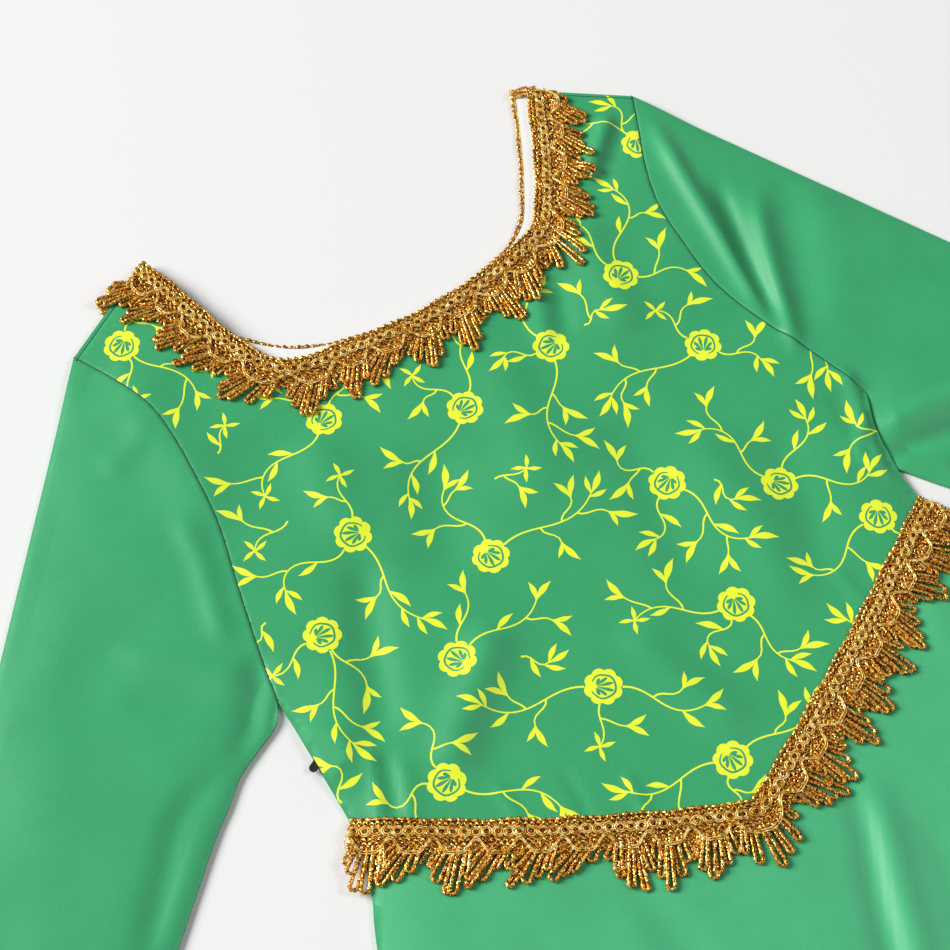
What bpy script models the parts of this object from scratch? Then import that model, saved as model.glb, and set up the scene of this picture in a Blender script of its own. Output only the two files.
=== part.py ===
"""A long-sleeved costume dress of satin, laid flat on its back with the front up.

The dress lies in the XY plane: +Y points to the neck, +X to the wearer's left, +Z up from the
surface. The origin is on that surface, on the centre line, level with the underarm points.
Sizes below are millimetres, and MM turns them into metres when a mesh is made.
"""

import math
from collections import namedtuple

import bmesh
import bpy
import numpy as np
from mathutils.geometry import delaunay_2d_cdt

MM = 0.001
PER_METRE = 1000.0
MERGED = 1e-7                   # metres: points closer than this become one
SHARP = math.radians(35)        # edges that turn more than this are shaded as sharp

# Cloth and seams
CLOTH = 1.2                     # wall of every cloth piece
SEAM_GAP = 0.3                  # between two pieces that are sewn together
FOLD_TOP = 2 * CLOTH + SEAM_GAP  # height of the front where it is folded or sewn to the back
FLAT_TOP = 6.0                  # height of the front away from its edges
EDGE_ROUND = 40.0               # how far the front takes to rise from an edge
TRIM_GAP = 0.5                  # between a trim and the cloth that carries it

Point = namedtuple("Point", "x y")

# Necklines from the wearer's right shoulder, past the centre, to the left shoulder
FRONT_NECK = [Point(-138, 306), Point(-126, 271), Point(-115, 233), Point(-102, 204),
              Point(-86, 195), Point(-55, 193), Point(-10, 188.5), Point(35, 193), Point(75, 205),
              Point(93, 212), Point(104, 226), Point(121, 260), Point(141, 302)]
BACK_NECK = [Point(-141, 304), Point(-121, 255), Point(-105, 219), Point(-84, 203),
             Point(-60, 196.5), Point(-10, 192), Point(35, 196), Point(66, 203.5), Point(84, 212),
             Point(97, 231), Point(115, 265), Point(134, 306.5)]

# Side outlines from the top down: how far out from the centre line on each side of the wearer
Level = namedtuple("Level", "y left right")
ARMHOLE = [Level(264, 199, 205), Level(238, 188, 191), Level(210, 176, 180), Level(182, 168, 177),
           Level(150, 166, 177.5), Level(115, 167, 180), Level(76, 177, 188), Level(34, 194, 196),
           Level(0, 205, 201)]
BODICE_SIDE = [Level(-22, 196, 200), Level(-50, 192, 199.5)]
SKIRT_SIDE = [Level(-125, 204, 208), Level(-156, 219, 221), Level(-270, 262, 262),
              Level(-480, 330, 330), Level(-720, 400, 400), Level(-1022, 484, 484)]
HEM_CENTRE = Point(0, -1068)

# The V of the waist seam, with how far each arm bows down
Arm = namedtuple("Arm", "side end sag")
WAIST_POINT = Point(0, -197)
WAIST = [Arm(1, Point(192, -85), 3.0), Arm(-1, Point(-199, -94), 6.0)]

# Sleeves: each leans out at its own angle from straight down
Sleeve = namedtuple("Sleeve", "name side lean underarm")
OVERARM = 575.0                 # shoulder tip to cuff
CUFF = 102.0                    # flat width of the cuff
SLEEVES = [
    Sleeve("sleeve_right", -1, 37.0,
           [Point(-201, 0), Point(-208, -12), Point(-224, -21), Point(-240, -30),
            Point(-254, -43), Point(-272, -59), Point(-314, -101)]),
    Sleeve("sleeve_left", 1, 30.3,
           [Point(192, -52), Point(199, -61), Point(213, -79), Point(240, -112)]),
]
SLEEVE_RINGS = 12               # closer together near the armhole, where the folds start
RING_CROWDING = 1.45
TUCK_SLACK = 5.0                # how far past its underarm a sleeve may follow the bodice's side

# The largest folds of the upper layer, as soft ridges (or troughs where the height is negative)
FOLD_TAPER = 0.3                # share of a fold's length over which each end fades out
Fold = namedtuple("Fold", "x0 y0 x1 y1 half_width height")
FOLDS = [
    # wearer's left sleeve, fanning from the armhole seam
    Fold(197, 236, 179, 100, 8, 3.0),
    Fold(200, 172, 187, 78, 7, -2.2),
    Fold(221, 158, 189, 62, 8, 3.2),
    Fold(250, -20, 300, -110, 14, 1.6),
    # wearer's right sleeve, by the underarm
    Fold(-209, -8, -240, 3, 7, -1.6),
    Fold(-262, -22, -340, -112, 13, -1.4),
    Fold(-300, 60, -400, -90, 20, 1.6),
    # straps and bodice
    Fold(183, 262, 153, 236, 7, 1.6),
    Fold(160, 206, 142, 166, 9, -1.2),
    Fold(178, -22, 120, -60, 13, 1.4),
    Fold(-150, -60, -130, -120, 11, 1.2),
    Fold(96, 150, 70, 60, 14, 1.2),
    # skirt, running from the waist towards the hem
    Fold(60, -205, 0, -400, 16, 3.0),
    Fold(36, -222, -10, -330, 12, -1.6),
    Fold(20, -470, 0, -1075, 30, 4.5),
    Fold(-80, -330, -120, -1075, 26, 4.0),
    Fold(-190, -260, -290, -1055, 28, 4.5),
    Fold(130, -300, 190, -1075, 28, 4.5),
    Fold(215, -330, 350, -1045, 24, 3.6),
]
Lift = namedtuple("Lift", "x y radius height")
LIFTS = [
    Lift(-194, -42, 36, 3.6),   # over the zip's slider
    Lift(201, -24, 46, 2.2),    # over the tucked underarm of the left sleeve
]
LIFT_STEEPNESS = 1.6

# Gold braid: a woven heading with scallops of loops along one edge
BRAID_THICK = 1.8
BRAID_INSET = 0.5               # the heading's upper edge, from the cloth's edge
HEADING = 22.0                  # width of the heading
SCALLOP = 24.0                  # length of one scallop
LOOP_HALF = 1.4                 # half width of a loop
LOOP_FAN = 2.5                  # degrees between neighbouring loops of a scallop
LOOP_REACH = [36.0, 46.0, 42.0, 34.0]  # of each loop of a scallop, from the upper edge
BRAID_STEP = 8.0                # between points along the upper edge
WAIST_BRAID_RISE = 11.0         # the waist braid's upper edge above the waist seam
CORNER_ROUND = 10.0             # the length over which the braid turns at a bend
END_TURN = 45.0                 # the length over which its ends turn to follow the shoulders

# The back braid lies under the back, which it lifts off the surface
BACK_BRAID_BOTTOM = 0.3
BACK_LIFT = BACK_BRAID_BOTTOM + BRAID_THICK + SEAM_GAP
LIFT_FULL = 82.0                # full lift as far as this from the back neckline
LIFT_NONE = 125.0

# Zip in the wearer's right side seam: a slider between the layers and a pull that swings on it
ZIP_X, ZIP_Y = -193.0, -41.0
SLIDER_LONG, SLIDER_WIDE, SLIDER_THICK = 8.5, 5.0, 1.0
POST_RADIUS, HEAD_RADIUS, HEAD_THICK = 0.8, 1.7, 0.5
POST_SUNK = 0.4                 # how far the post goes into the slider's plate
PULL_THICK, PULL_LONG, PULL_HALF, EYE_RADIUS = 0.9, 13.0, 2.5, 1.2
PULL_EYE_HALF = 2.3             # half width round the eye
PULL_CLEAR = 0.3                # above and below the pull
PULL_TURN = 30.0                # degrees from straight out, towards the hem

# Point spacing inside each panel
BODICE_GRID, BACK_GRID, SKIRT_GRID = 19.0, 32.0, 42.0
NECK_STEP, OUTLINE_STEP, SKIRT_STEP = 12.0, 15.0, 42.0
WAIST_ROWS, WAIST_ROW_STEP = (16.0, 34.0, 56.0), 19.0
BACK_FLAT_BELOW = 60.0          # the back is flat below this, so it needs no points inside
ARMHOLE_STEP = 22.0             # shared by the bodice and the sleeves, which meet point to point

SATIN = ("green_satin", (0.045, 0.42, 0.165, 1), 0.35, 0.0)
GOLD = ("gold_braid", (0.62, 0.33, 0.06, 1), 0.4, 0.7)
BLACK = ("black_zip", (0.012, 0.012, 0.013, 1), 0.4, 0.5)


def length_along(points):
    steps = np.linalg.norm(np.diff(points, axis=0), axis=1)
    return np.concatenate([[0.0], np.cumsum(steps)])


def at_fractions(points, fractions):
    """Points of a line at fractions of its length."""
    along = length_along(points)
    wanted = np.asarray(fractions) * along[-1]
    return np.stack([np.interp(wanted, along, points[:, i]) for i in range(2)], axis=1)


def evenly(points, step):
    """The same line with points about step apart, its two ends kept."""
    count = max(2, int(round(length_along(points)[-1] / step)) + 1)
    return at_fractions(points, np.linspace(0, 1, count))


def curve(table, step=None, fine=24):
    """A smooth line through a table of points (a Catmull-Rom spline)."""
    p = np.array(table, float)
    p = np.vstack([2 * p[0] - p[1], p, 2 * p[-1] - p[-2]])
    t = np.linspace(0, 1, fine, endpoint=False)[:, None]
    runs = []
    for a, b, c, d in zip(p, p[1:], p[2:], p[3:]):
        runs.append(0.5 * (2 * b + (c - a) * t + (2 * a - 5 * b + 4 * c - d) * t ** 2
                           + (3 * b - a - 3 * c + d) * t ** 3))
    line = np.vstack(runs + [p[-2:-1]])
    return line if step is None else evenly(line, step)


def shifted(points, distance):
    """The line moved sideways, to its left where distance is positive."""
    tangent = np.gradient(points, axis=0)
    tangent /= np.linalg.norm(tangent, axis=1)[:, None]
    return points + distance * np.stack([-tangent[:, 1], tangent[:, 0]], axis=1)


def outward(points, side, distance):
    """A line that runs down one side of the dress, moved away from the centre line."""
    return shifted(points, side * distance)


def corner(level, side):
    return Point(level.left if side > 0 else -level.right, level.y)


def armhole_line(side, step=None):
    return curve([corner(level, side) for level in ARMHOLE], step)


def waist_arm(arm, step):
    """One arm of the V, from its point at the centre out to the side."""
    t = np.linspace(0, 1, 40)[:, None]
    straight = np.array(WAIST_POINT) * (1 - t) + np.array(arm.end) * t
    sag = np.concatenate([np.zeros_like(t), -arm.sag * 4 * t * (1 - t)], axis=1)
    return evenly(straight + sag, step)


def bodice_side_line(arm, step=None):
    rows = [corner(level, arm.side) for level in ARMHOLE[-1:] + BODICE_SIDE]
    return curve(rows + [arm.end], step)


def skirt_side_line(arm, step=None):
    return curve([arm.end] + [corner(level, arm.side) for level in SKIRT_SIDE], step)


def hem_line(step):
    """From the wearer's left to the right."""
    return curve([corner(SKIRT_SIDE[-1], 1), HEM_CENTRE, corner(SKIRT_SIDE[-1], -1)], step)


def distance_to(line, x, y):
    """Shortest distance from each point to a line of straight runs."""
    best = np.full(np.shape(x), 1e9)
    for (ax, ay), (bx, by) in zip(line, line[1:]):
        run = (bx - ax) ** 2 + (by - ay) ** 2
        t = np.clip(((x - ax) * (bx - ax) + (y - ay) * (by - ay)) / run, 0, 1)
        best = np.minimum(best, np.hypot(x - ax - t * (bx - ax), y - ay - t * (by - ay)))
    return best


def sleeve_lines(s):
    """The folded upper edge and the lower edge of a sleeve, both from armhole to cuff."""
    lean = math.radians(s.lean)
    down = np.array([s.side * math.sin(lean), -math.cos(lean)])
    across = np.array([-s.side * math.cos(lean), -math.sin(lean)])
    tip = np.array(corner(ARMHOLE[0], s.side))
    outer = tip + down * OVERARM
    return evenly(np.array([tip, outer]), 20), curve(s.underarm + [Point(*(outer + across * CUFF))])


def closed_edges():
    """Every line where the upper layer comes down to the lower one."""
    lines = [hem_line(60)]
    for arm in WAIST:
        lines += [bodice_side_line(arm, 20), skirt_side_line(arm, 40)]
        neck_end = FRONT_NECK[-1] if arm.side > 0 else FRONT_NECK[0]
        lines.append(np.array([neck_end, corner(ARMHOLE[0], arm.side)], float))
    for s in SLEEVES:
        lines += [evenly(line, 40) for line in sleeve_lines(s)]
    return lines


EDGES = closed_edges()
BACK_NECK_LINE = curve(BACK_NECK, 12)


def back_lift(x, y):
    """How far the back stands off the surface, over the braid that is sewn under its neck."""
    d = distance_to(BACK_NECK_LINE, x, y)
    t = np.clip((LIFT_NONE - d) / (LIFT_NONE - LIFT_FULL), 0, 1)
    return BACK_LIFT * t * t * (3 - 2 * t)


def folds(x, y):
    height = np.zeros(np.shape(x))
    for f in FOLDS:
        run = np.array([f.x1 - f.x0, f.y1 - f.y0], float)
        long = np.linalg.norm(run)
        dx, dy = run / long
        along = (x - f.x0) * dx + (y - f.y0) * dy
        aside = (x - f.x0) * -dy + (y - f.y0) * dx
        ends = np.clip(np.minimum(along + f.half_width, long + f.half_width - along)
                       / (FOLD_TAPER * long + f.half_width), 0, 1)
        height += f.height * np.exp(-(aside / f.half_width) ** 2) * np.sin(0.5 * math.pi * ends) ** 2
    return height


def upper_layer(x, y):
    """Height of the outer face of the front and of the sleeves' upper layer."""
    d = np.min([distance_to(line, x, y) for line in EDGES], axis=0)
    t = np.clip(d / EDGE_ROUND, 0, 1)
    low = FOLD_TOP + back_lift(x, y)
    body = low + (FLAT_TOP - low) * (1 - (1 - t) ** 2)
    return body + folds(x, y) * np.clip(3 * t, 0, 1)


def front_layer(x, y):
    """The upper layer of the body, lifted where something lies under its side edges."""
    height = upper_layer(x, y)
    for lift in LIFTS:
        r = np.hypot(x - lift.x, y - lift.y) / lift.radius
        height = height + lift.height * np.clip(LIFT_STEEPNESS * (1 - r), 0, 1) ** 2
    return height


def plain_material(kind):
    name, colour, roughness, metallic = kind
    material = bpy.data.materials.get(name)
    if material is None:
        material = bpy.data.materials.new(name)
        material.use_nodes = True
        shader = material.node_tree.nodes["Principled BSDF"]
        shader.inputs["Base Color"].default_value = colour
        shader.inputs["Roughness"].default_value = roughness
        shader.inputs["Metallic"].default_value = metallic
    return material


def place(name, points, faces, kind, parent=None):
    """One named object from points in millimetres, measured from its parent's origin."""
    mesh = bpy.data.meshes.new(name)
    mesh.from_pydata([tuple(float(c) * MM for c in p) for p in points], [], faces)
    bm = bmesh.new()
    bm.from_mesh(mesh)
    bmesh.ops.recalc_face_normals(bm, faces=bm.faces)
    bm.to_mesh(mesh)
    bm.free()
    mesh.materials.append(plain_material(kind))
    mesh.shade_smooth()
    mesh.set_sharp_from_angle(angle=SHARP)
    thing = bpy.data.objects.new(name, mesh)
    thing.parent = parent
    bpy.context.scene.collection.objects.link(thing)
    return thing


def triangles_inside(outline, inner):
    """Triangles of a flat outline and the points inside it."""
    points = [tuple(p) for p in np.vstack([outline, inner]) / PER_METRE]
    ring = [(i, (i + 1) % len(outline)) for i in range(len(outline))]
    found = delaunay_2d_cdt(points, ring, [], 0, MERGED)
    flat = np.array([tuple(v) for v in found[0]]) * PER_METRE
    faces = [tuple(f) for f in found[2]]
    x, y = np.array([flat[list(f)].mean(0) for f in faces]).T
    return flat, [f for f, kept in zip(faces, inside(outline, x, y)) if kept]


def sheet(flat, faces, under, over):
    """Points and faces of the closed solid between two heights over the same flat triangles."""
    x, y = flat[:, 0], flat[:, 1]
    count = len(flat)
    points = np.vstack([np.column_stack([x, y, over(x, y)]), np.column_stack([x, y, under(x, y)])])
    edges = {}
    for face in faces:
        for a, b in zip(face, face[1:] + face[:1]):
            edges[(a, b)] = edges.get((a, b), 0) + 1
    walls = [(b, a, a + count, b + count) for a, b in edges if (b, a) not in edges]
    lower = [tuple(i + count for i in reversed(f)) for f in faces]
    return points, list(faces) + lower + walls


def panel(name, outline, grid, under, over, rows=(), wanted=None):
    """A cloth panel: its outline, rows and a grid of points inside it, and its two faces."""
    low, high = outline.min(0), outline.max(0)
    gx, gy = np.meshgrid(np.arange(low[0] + grid / 2, high[0], grid),
                         np.arange(low[1] + grid / 2, high[1], grid * 0.866))
    gx = gx + (np.arange(len(gy)) % 2)[:, None] * grid / 2
    x, y = gx.ravel(), gy.ravel()
    keep = inside(outline, x, y)
    for line in [np.vstack([outline, outline[:1]]), *rows]:
        keep &= distance_to(line, x, y) > 0.5 * grid
    if wanted is not None:
        keep &= wanted(x, y)
    flat, faces = triangles_inside(outline, np.vstack([*rows, np.column_stack([x, y])[keep]]))
    points, solid = sheet(flat, faces, under, over)
    return place(name, points, solid, SATIN)


def inside(outline, x, y):
    """Whether each point is inside the outline, by counting the sides it looks across."""
    crossed = np.zeros(np.shape(x), bool)
    for (ax, ay), (bx, by) in zip(outline, np.roll(outline, -1, axis=0)):
        if ay != by:
            crossed ^= ((ay > y) != (by > y)) & (x < (bx - ax) * (y - ay) / (by - ay) + ax)
    return crossed


def bodice_outline(neck):
    """Clockwise from the wearer's right end of the neckline."""
    sides = {}
    for arm in WAIST:
        armhole = outward(armhole_line(arm.side, ARMHOLE_STEP), arm.side, -SEAM_GAP / 2)
        side = outward(bodice_side_line(arm, ARMHOLE_STEP), arm.side, -SEAM_GAP / 2)
        waist = outward(waist_arm(arm, OUTLINE_STEP), arm.side, SEAM_GAP / 2)
        sides[arm.side] = np.vstack([armhole, side[1:-1], waist[::-1]])
    return np.vstack([curve(neck, NECK_STEP), sides[1], sides[-1][::-1][1:]])


def skirt_outline():
    """Clockwise from the wearer's left end of the waist."""
    sides = {}
    for arm in WAIST:
        waist = outward(waist_arm(arm, OUTLINE_STEP), arm.side, -SEAM_GAP / 2)
        sides[arm.side] = np.vstack([waist, skirt_side_line(arm, SKIRT_STEP)[1:]])
    return np.vstack([sides[1], hem_line(SKIRT_STEP)[1:-1], sides[-1][::-1][:-1]])


def bodice():
    panel("bodice_back", bodice_outline(BACK_NECK), BACK_GRID, back_lift,
          lambda x, y: back_lift(x, y) + CLOTH, wanted=lambda x, y: y > BACK_FLAT_BELOW)
    panel("bodice_front", bodice_outline(FRONT_NECK), BODICE_GRID,
          lambda x, y: front_layer(x, y) - CLOTH, front_layer)


def skirt():
    """The flat back needs no points inside. The front has rows of them under its braid."""
    panel("skirt_back", skirt_outline(), SKIRT_GRID, lambda x, y: 0 * x,
          lambda x, y: 0 * x + CLOTH, wanted=lambda x, y: np.zeros(np.shape(x), bool))
    rows = []
    for depth in WAIST_ROWS:
        for arm in WAIST:
            row = waist_arm(arm, WAIST_ROW_STEP)[1:-1] - (0, depth)
            rows.append(row[np.abs(row[:, 0]) > WAIST_ROW_STEP / 2])
    panel("skirt_front", skirt_outline(), SKIRT_GRID,
          lambda x, y: front_layer(x, y) - CLOTH, front_layer, rows)


def sleeve(s):
    """A flat tube: rings from the armhole seam to the cuff, with an outer and an inner skin."""
    seam = outward(armhole_line(s.side, ARMHOLE_STEP), s.side, SEAM_GAP / 2)
    arm = next(arm for arm in WAIST if arm.side == s.side)
    side = outward(bodice_side_line(arm, ARMHOLE_STEP), s.side, SEAM_GAP / 2)[1:]
    seam = np.vstack([seam, side[side[:, 1] > s.underarm[0].y - TUCK_SLACK]])
    along = np.linspace(0, 1, SLEEVE_RINGS) ** RING_CROWDING
    over, under = [at_fractions(line, along) for line in sleeve_lines(s)]
    over = over + (seam[0] - over[0]) * (1 - along)[:, None]
    under = under + (seam[-1] - under[0]) * (1 - along)[:, None]
    u = (length_along(seam) / length_along(seam)[-1])[:, None]
    cuff = over[-1] * (1 - u) + under[-1] * u

    def ring_points(ring, inset):
        """One ring of a skin: its upper half, then its lower half on the way back."""
        v = along[ring]
        row = ((1 - v) * seam + v * cuff + (1 - u) * over[ring] + u * under[ring]
               - (1 - v) * ((1 - u) * seam[0] + u * seam[-1])
               - v * ((1 - u) * cuff[0] + u * cuff[-1]))
        for end, next_in in ((0, 1), (-1, -2)):
            inward = row[next_in] - row[end]
            row[end] += inset * inward / np.linalg.norm(inward)
        x, y = row.T
        top = np.column_stack([row, upper_layer(x, y) - inset])
        bottom = np.column_stack([row, back_lift(x, y) + inset])
        return np.vstack([top, bottom[::-1]])

    skins = [[ring_points(ring, inset) for ring in range(SLEEVE_RINGS)] for inset in (0, CLOTH)]
    points = np.vstack(skins[0] + skins[1])
    size = 2 * len(seam)
    rings = [list(range(k * size, (k + 1) * size)) for k in range(2 * SLEEVE_RINGS)]
    outer, inner = rings[:SLEEVE_RINGS], rings[SLEEVE_RINGS:]
    faces = []

    def bridge(a, b):
        for i in range(size):
            j = (i + 1) % size
            faces.append((a[i], a[j], b[j], b[i]))

    for near, far in zip(outer, outer[1:]):
        bridge(near, far)
    for near, far in zip(inner, inner[1:]):
        bridge(far, near)
    bridge(inner[0], outer[0])
    bridge(outer[-1], inner[-1])
    place(s.name, points, faces, SATIN)


def braid_frame(line, rounding, ends):
    """A function from a distance along the braid, and out from its upper edge, to the plan."""
    line = evenly(line, 1.0)
    along = length_along(line)
    tangent = np.gradient(line, axis=0)
    window = np.ones(int(rounding)) / int(rounding)
    padded = np.pad(tangent, ((len(window), len(window)), (0, 0)), mode="edge")
    soft = np.stack([np.convolve(padded[:, i], window, "same") for i in range(2)], axis=1)
    soft = soft[len(window):-len(window)]
    facing = np.stack([soft[:, 1], -soft[:, 0]], axis=1)
    facing /= np.linalg.norm(facing, axis=1)[:, None]
    for end, left in zip(ends, (along, along[-1] - along)):
        t = np.clip(1 - left / END_TURN, 0, 1)[:, None]
        facing = facing * (1 - t) + np.array(end) * t
    facing /= np.linalg.norm(facing, axis=1)[:, None]

    def at(s, out):
        return np.array([np.interp(s, along, line[:, i] + out * facing[:, i]) for i in range(2)])

    return at, along[-1]


def braid(name, line, under, over, rounding=CORNER_ROUND, ends=()):
    """A comb in the plan: the heading's strip and one tooth for each loop, laid on the cloth."""
    at, total = braid_frame(line, rounding, ends)
    scallops = int(round(total / SCALLOP))
    pitch = total / scallops
    steps = int(round(total / BRAID_STEP))
    outline = [at(total * i / steps, BRAID_INSET) for i in range(steps, -1, -1)]
    outline.append(at(0, HEADING))
    for k in range(scallops):
        for j, reach in enumerate(LOOP_REACH):
            centre = (k + (j + 0.5) / len(LOOP_REACH)) * pitch
            lean = math.tan(math.radians((j - (len(LOOP_REACH) - 1) / 2) * LOOP_FAN))
            tip = centre + lean * (reach - HEADING)
            outline.append(at(centre - LOOP_HALF, HEADING))
            outline.append(at(tip - LOOP_HALF, reach - LOOP_HALF))
            outline.append(at(tip, reach))
            outline.append(at(tip + LOOP_HALF, reach - LOOP_HALF))
            outline.append(at(centre + LOOP_HALF, HEADING))
    outline.append(at(total, HEADING))
    middle = [at(total * (i + 0.5) / steps, HEADING * 0.5) for i in range(steps)]
    flat, faces = triangles_inside(np.array(outline), np.array(middle))
    points, solid = sheet(flat, faces, under, over)
    place(name, points, solid, GOLD)


def shoulder_directions(neck):
    """Unit directions along the two shoulder lines, away from the neck."""
    runs = [np.subtract(corner(ARMHOLE[0], side), end) for side, end in ((-1, neck[0]), (1, neck[-1]))]
    return [run / np.linalg.norm(run) for run in runs]


def braids():
    """Braid round the front neck, round the back neck, and along the V of the waist."""
    def on_front(x, y):
        return front_layer(x, y) + TRIM_GAP

    braid("neck_braid_front", curve(FRONT_NECK), on_front,
          lambda x, y: on_front(x, y) + BRAID_THICK, ends=shoulder_directions(FRONT_NECK))
    braid("neck_braid_back", curve(BACK_NECK), lambda x, y: 0 * x + BACK_BRAID_BOTTOM,
          lambda x, y: 0 * x + BACK_BRAID_BOTTOM + BRAID_THICK, ends=shoulder_directions(BACK_NECK))
    left, right = [waist_arm(arm, 2.0) + (0, WAIST_BRAID_RISE) for arm in WAIST]
    braid("waist_braid", np.vstack([right[::-1], left[1:]]), on_front,
          lambda x, y: on_front(x, y) + BRAID_THICK, rounding=2 * CORNER_ROUND)


def zip_slider():
    """A flat slider with a post and a head, which keep the pull on it."""
    base = CLOTH + SEAM_GAP
    top = base + SLIDER_THICK
    head = top + PULL_THICK + 2 * PULL_CLEAR
    bpy.ops.mesh.primitive_cube_add(size=1, location=(ZIP_X * MM, ZIP_Y * MM,
                                                      (base + SLIDER_THICK / 2) * MM))
    plate = bpy.context.object
    plate.name = "zip_slider"
    plate.scale = (SLIDER_WIDE * MM, SLIDER_LONG * MM, SLIDER_THICK * MM)
    bpy.ops.object.transform_apply(location=False, rotation=False, scale=True)
    foot = top - POST_SUNK
    profile = [(0, foot), (POST_RADIUS, foot), (POST_RADIUS, head), (HEAD_RADIUS, head),
               (HEAD_RADIUS, head + HEAD_THICK), (0, head + HEAD_THICK)]
    post = turned("zip_post", profile, (ZIP_X, ZIP_Y, 0))
    join = plate.modifiers.new("join", "BOOLEAN")
    join.operation = "UNION"
    join.object = post
    post.hide_render = True
    post.display_type = "WIRE"
    plate.data.materials.append(plain_material(BLACK))


def turned(name, profile, origin, around=20):
    """A profile of (radius, height) turned about the Z axis through its origin."""
    bm = bmesh.new()
    line = [bm.verts.new((r * MM, 0, z * MM)) for r, z in profile]
    edges = [bm.edges.new(pair) for pair in zip(line, line[1:])]
    bmesh.ops.spin(bm, geom=line + edges, cent=(0, 0, 0), axis=(0, 0, 1), angle=2 * math.pi,
                   steps=around, use_merge=True)
    bmesh.ops.remove_doubles(bm, verts=bm.verts, dist=MERGED)
    bmesh.ops.recalc_face_normals(bm, faces=bm.faces)
    mesh = bpy.data.meshes.new(name)
    bm.to_mesh(mesh)
    bm.free()
    thing = bpy.data.objects.new(name, mesh)
    thing.location = [c * MM for c in origin]
    bpy.context.scene.collection.objects.link(thing)
    return thing


def zip_pull():
    """A flat drop-shaped tab with an eye round the slider's post, hung from its own pivot."""
    bottom = CLOTH + SEAM_GAP + SLIDER_THICK + PULL_CLEAR
    pivot = bpy.data.objects.new("pull_pivot", None)
    pivot.location = (ZIP_X * MM, ZIP_Y * MM, bottom * MM)
    pivot.rotation_euler = (0, 0, math.radians(180 + PULL_TURN))
    bpy.context.scene.collection.objects.link(pivot)
    around = 20
    rim, eye = [], []
    for i in range(around):
        turn = 2 * math.pi * i / around
        c, s = math.cos(turn), math.sin(turn)
        if c > 0:
            rim.append((PULL_LONG - PULL_HALF + PULL_HALF * c, PULL_HALF * s))
        else:
            rim.append((PULL_EYE_HALF * c, PULL_EYE_HALF * s))
        eye.append((EYE_RADIUS * c, EYE_RADIUS * s))
    points = [(x, y, z) for z in (0, PULL_THICK) for x, y in rim + eye]
    level = 2 * around
    faces = []
    for i in range(around):
        j = (i + 1) % around
        faces.append((j, i, around + i, around + j))
        faces.append((level + i, level + j, level + around + j, level + around + i))
        faces.append((i, j, level + j, level + i))
        faces.append((around + j, around + i, level + around + i, level + around + j))
    place("zip_pull", points, faces, BLACK, parent=pivot)


def main():
    for thing in list(bpy.data.objects):
        bpy.data.objects.remove(thing, do_unlink=True)
    bodice()
    skirt()
    for s in SLEEVES:
        sleeve(s)
    braids()
    zip_slider()
    zip_pull()


main()
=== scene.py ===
"""The looks of a satin costume dress, laid flat on its back: cloth, print, gold braid and zip."""

import math
from collections import namedtuple

import bpy
import numpy as np
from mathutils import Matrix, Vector
from mathutils.geometry import delaunay_2d_cdt


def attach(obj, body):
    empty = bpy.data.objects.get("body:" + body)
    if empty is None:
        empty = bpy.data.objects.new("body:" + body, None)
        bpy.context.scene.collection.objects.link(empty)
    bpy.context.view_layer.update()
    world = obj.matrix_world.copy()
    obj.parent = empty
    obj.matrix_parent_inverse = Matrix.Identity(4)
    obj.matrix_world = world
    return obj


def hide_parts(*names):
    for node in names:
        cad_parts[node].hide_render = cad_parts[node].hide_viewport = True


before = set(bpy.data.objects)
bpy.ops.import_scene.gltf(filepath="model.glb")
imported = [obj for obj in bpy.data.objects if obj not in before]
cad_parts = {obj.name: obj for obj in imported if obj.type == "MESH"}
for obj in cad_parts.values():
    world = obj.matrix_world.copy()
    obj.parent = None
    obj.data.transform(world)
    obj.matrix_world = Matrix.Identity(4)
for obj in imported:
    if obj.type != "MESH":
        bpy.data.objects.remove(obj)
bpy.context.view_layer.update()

MM = 0.001

# The table and the light: a pale table top, a large soft lamp high beyond the wearer's right
# shoulder, and a weak one opposite that fills the shade. The camera looks down from the skirt.
AIM = Vector((-0.031, 0.070, 0.004))
VIEW_AZIMUTH, VIEW_ELEVATION = math.radians(-29.8), math.radians(62.0)
LENS, SENSOR = 85.0, 36.0
FRAME_WIDTH = 0.57
WORLD_LIGHT = 0.19
TABLE_COLOUR, TABLE_ROUGHNESS = (0.785, 0.790, 0.790), 0.6
FLOOR_HALF, FLOOR_DROP = 6.0, 0.0004
scene = bpy.context.scene
scene.view_settings.view_transform = "Standard"

camera = bpy.data.objects.new("camera", bpy.data.cameras.new("camera"))
camera.data.lens, camera.data.sensor_width = LENS, SENSOR
back = Vector((math.sin(VIEW_AZIMUTH) * math.cos(VIEW_ELEVATION),
               -math.cos(VIEW_AZIMUTH) * math.cos(VIEW_ELEVATION), math.sin(VIEW_ELEVATION)))
camera.location = AIM + back * FRAME_WIDTH * LENS / SENSOR
camera.rotation_euler = back.to_track_quat("Z", "Y").to_euler()
scene.collection.objects.link(camera)
scene.camera = camera


def soft_lamp(name, place, size, watts, colour):
    lamp = bpy.data.lights.new(name, "AREA")
    lamp.shape, lamp.size, lamp.energy, lamp.color = "DISK", size, watts, colour
    thing = bpy.data.objects.new(name, lamp)
    thing.location = Vector(place)
    thing.rotation_euler = (Vector(place) - AIM).to_track_quat("Z", "Y").to_euler()
    scene.collection.objects.link(thing)


soft_lamp("lamp_key", (-6.6, 5.1, 5.4), 5.5, 1480.0, (1.0, 0.99, 0.98))
soft_lamp("lamp_front", (2.4, -1.6, 3.4), 2.0, 46.0, (1.0, 1.0, 1.0))
world = bpy.data.worlds.new("studio")
scene.world = world
world.use_nodes = True
sky = world.node_tree.nodes["Background"].inputs
sky["Color"].default_value = (1.0, 1.0, 1.0, 1)
sky["Strength"].default_value = WORLD_LIGHT

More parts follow.
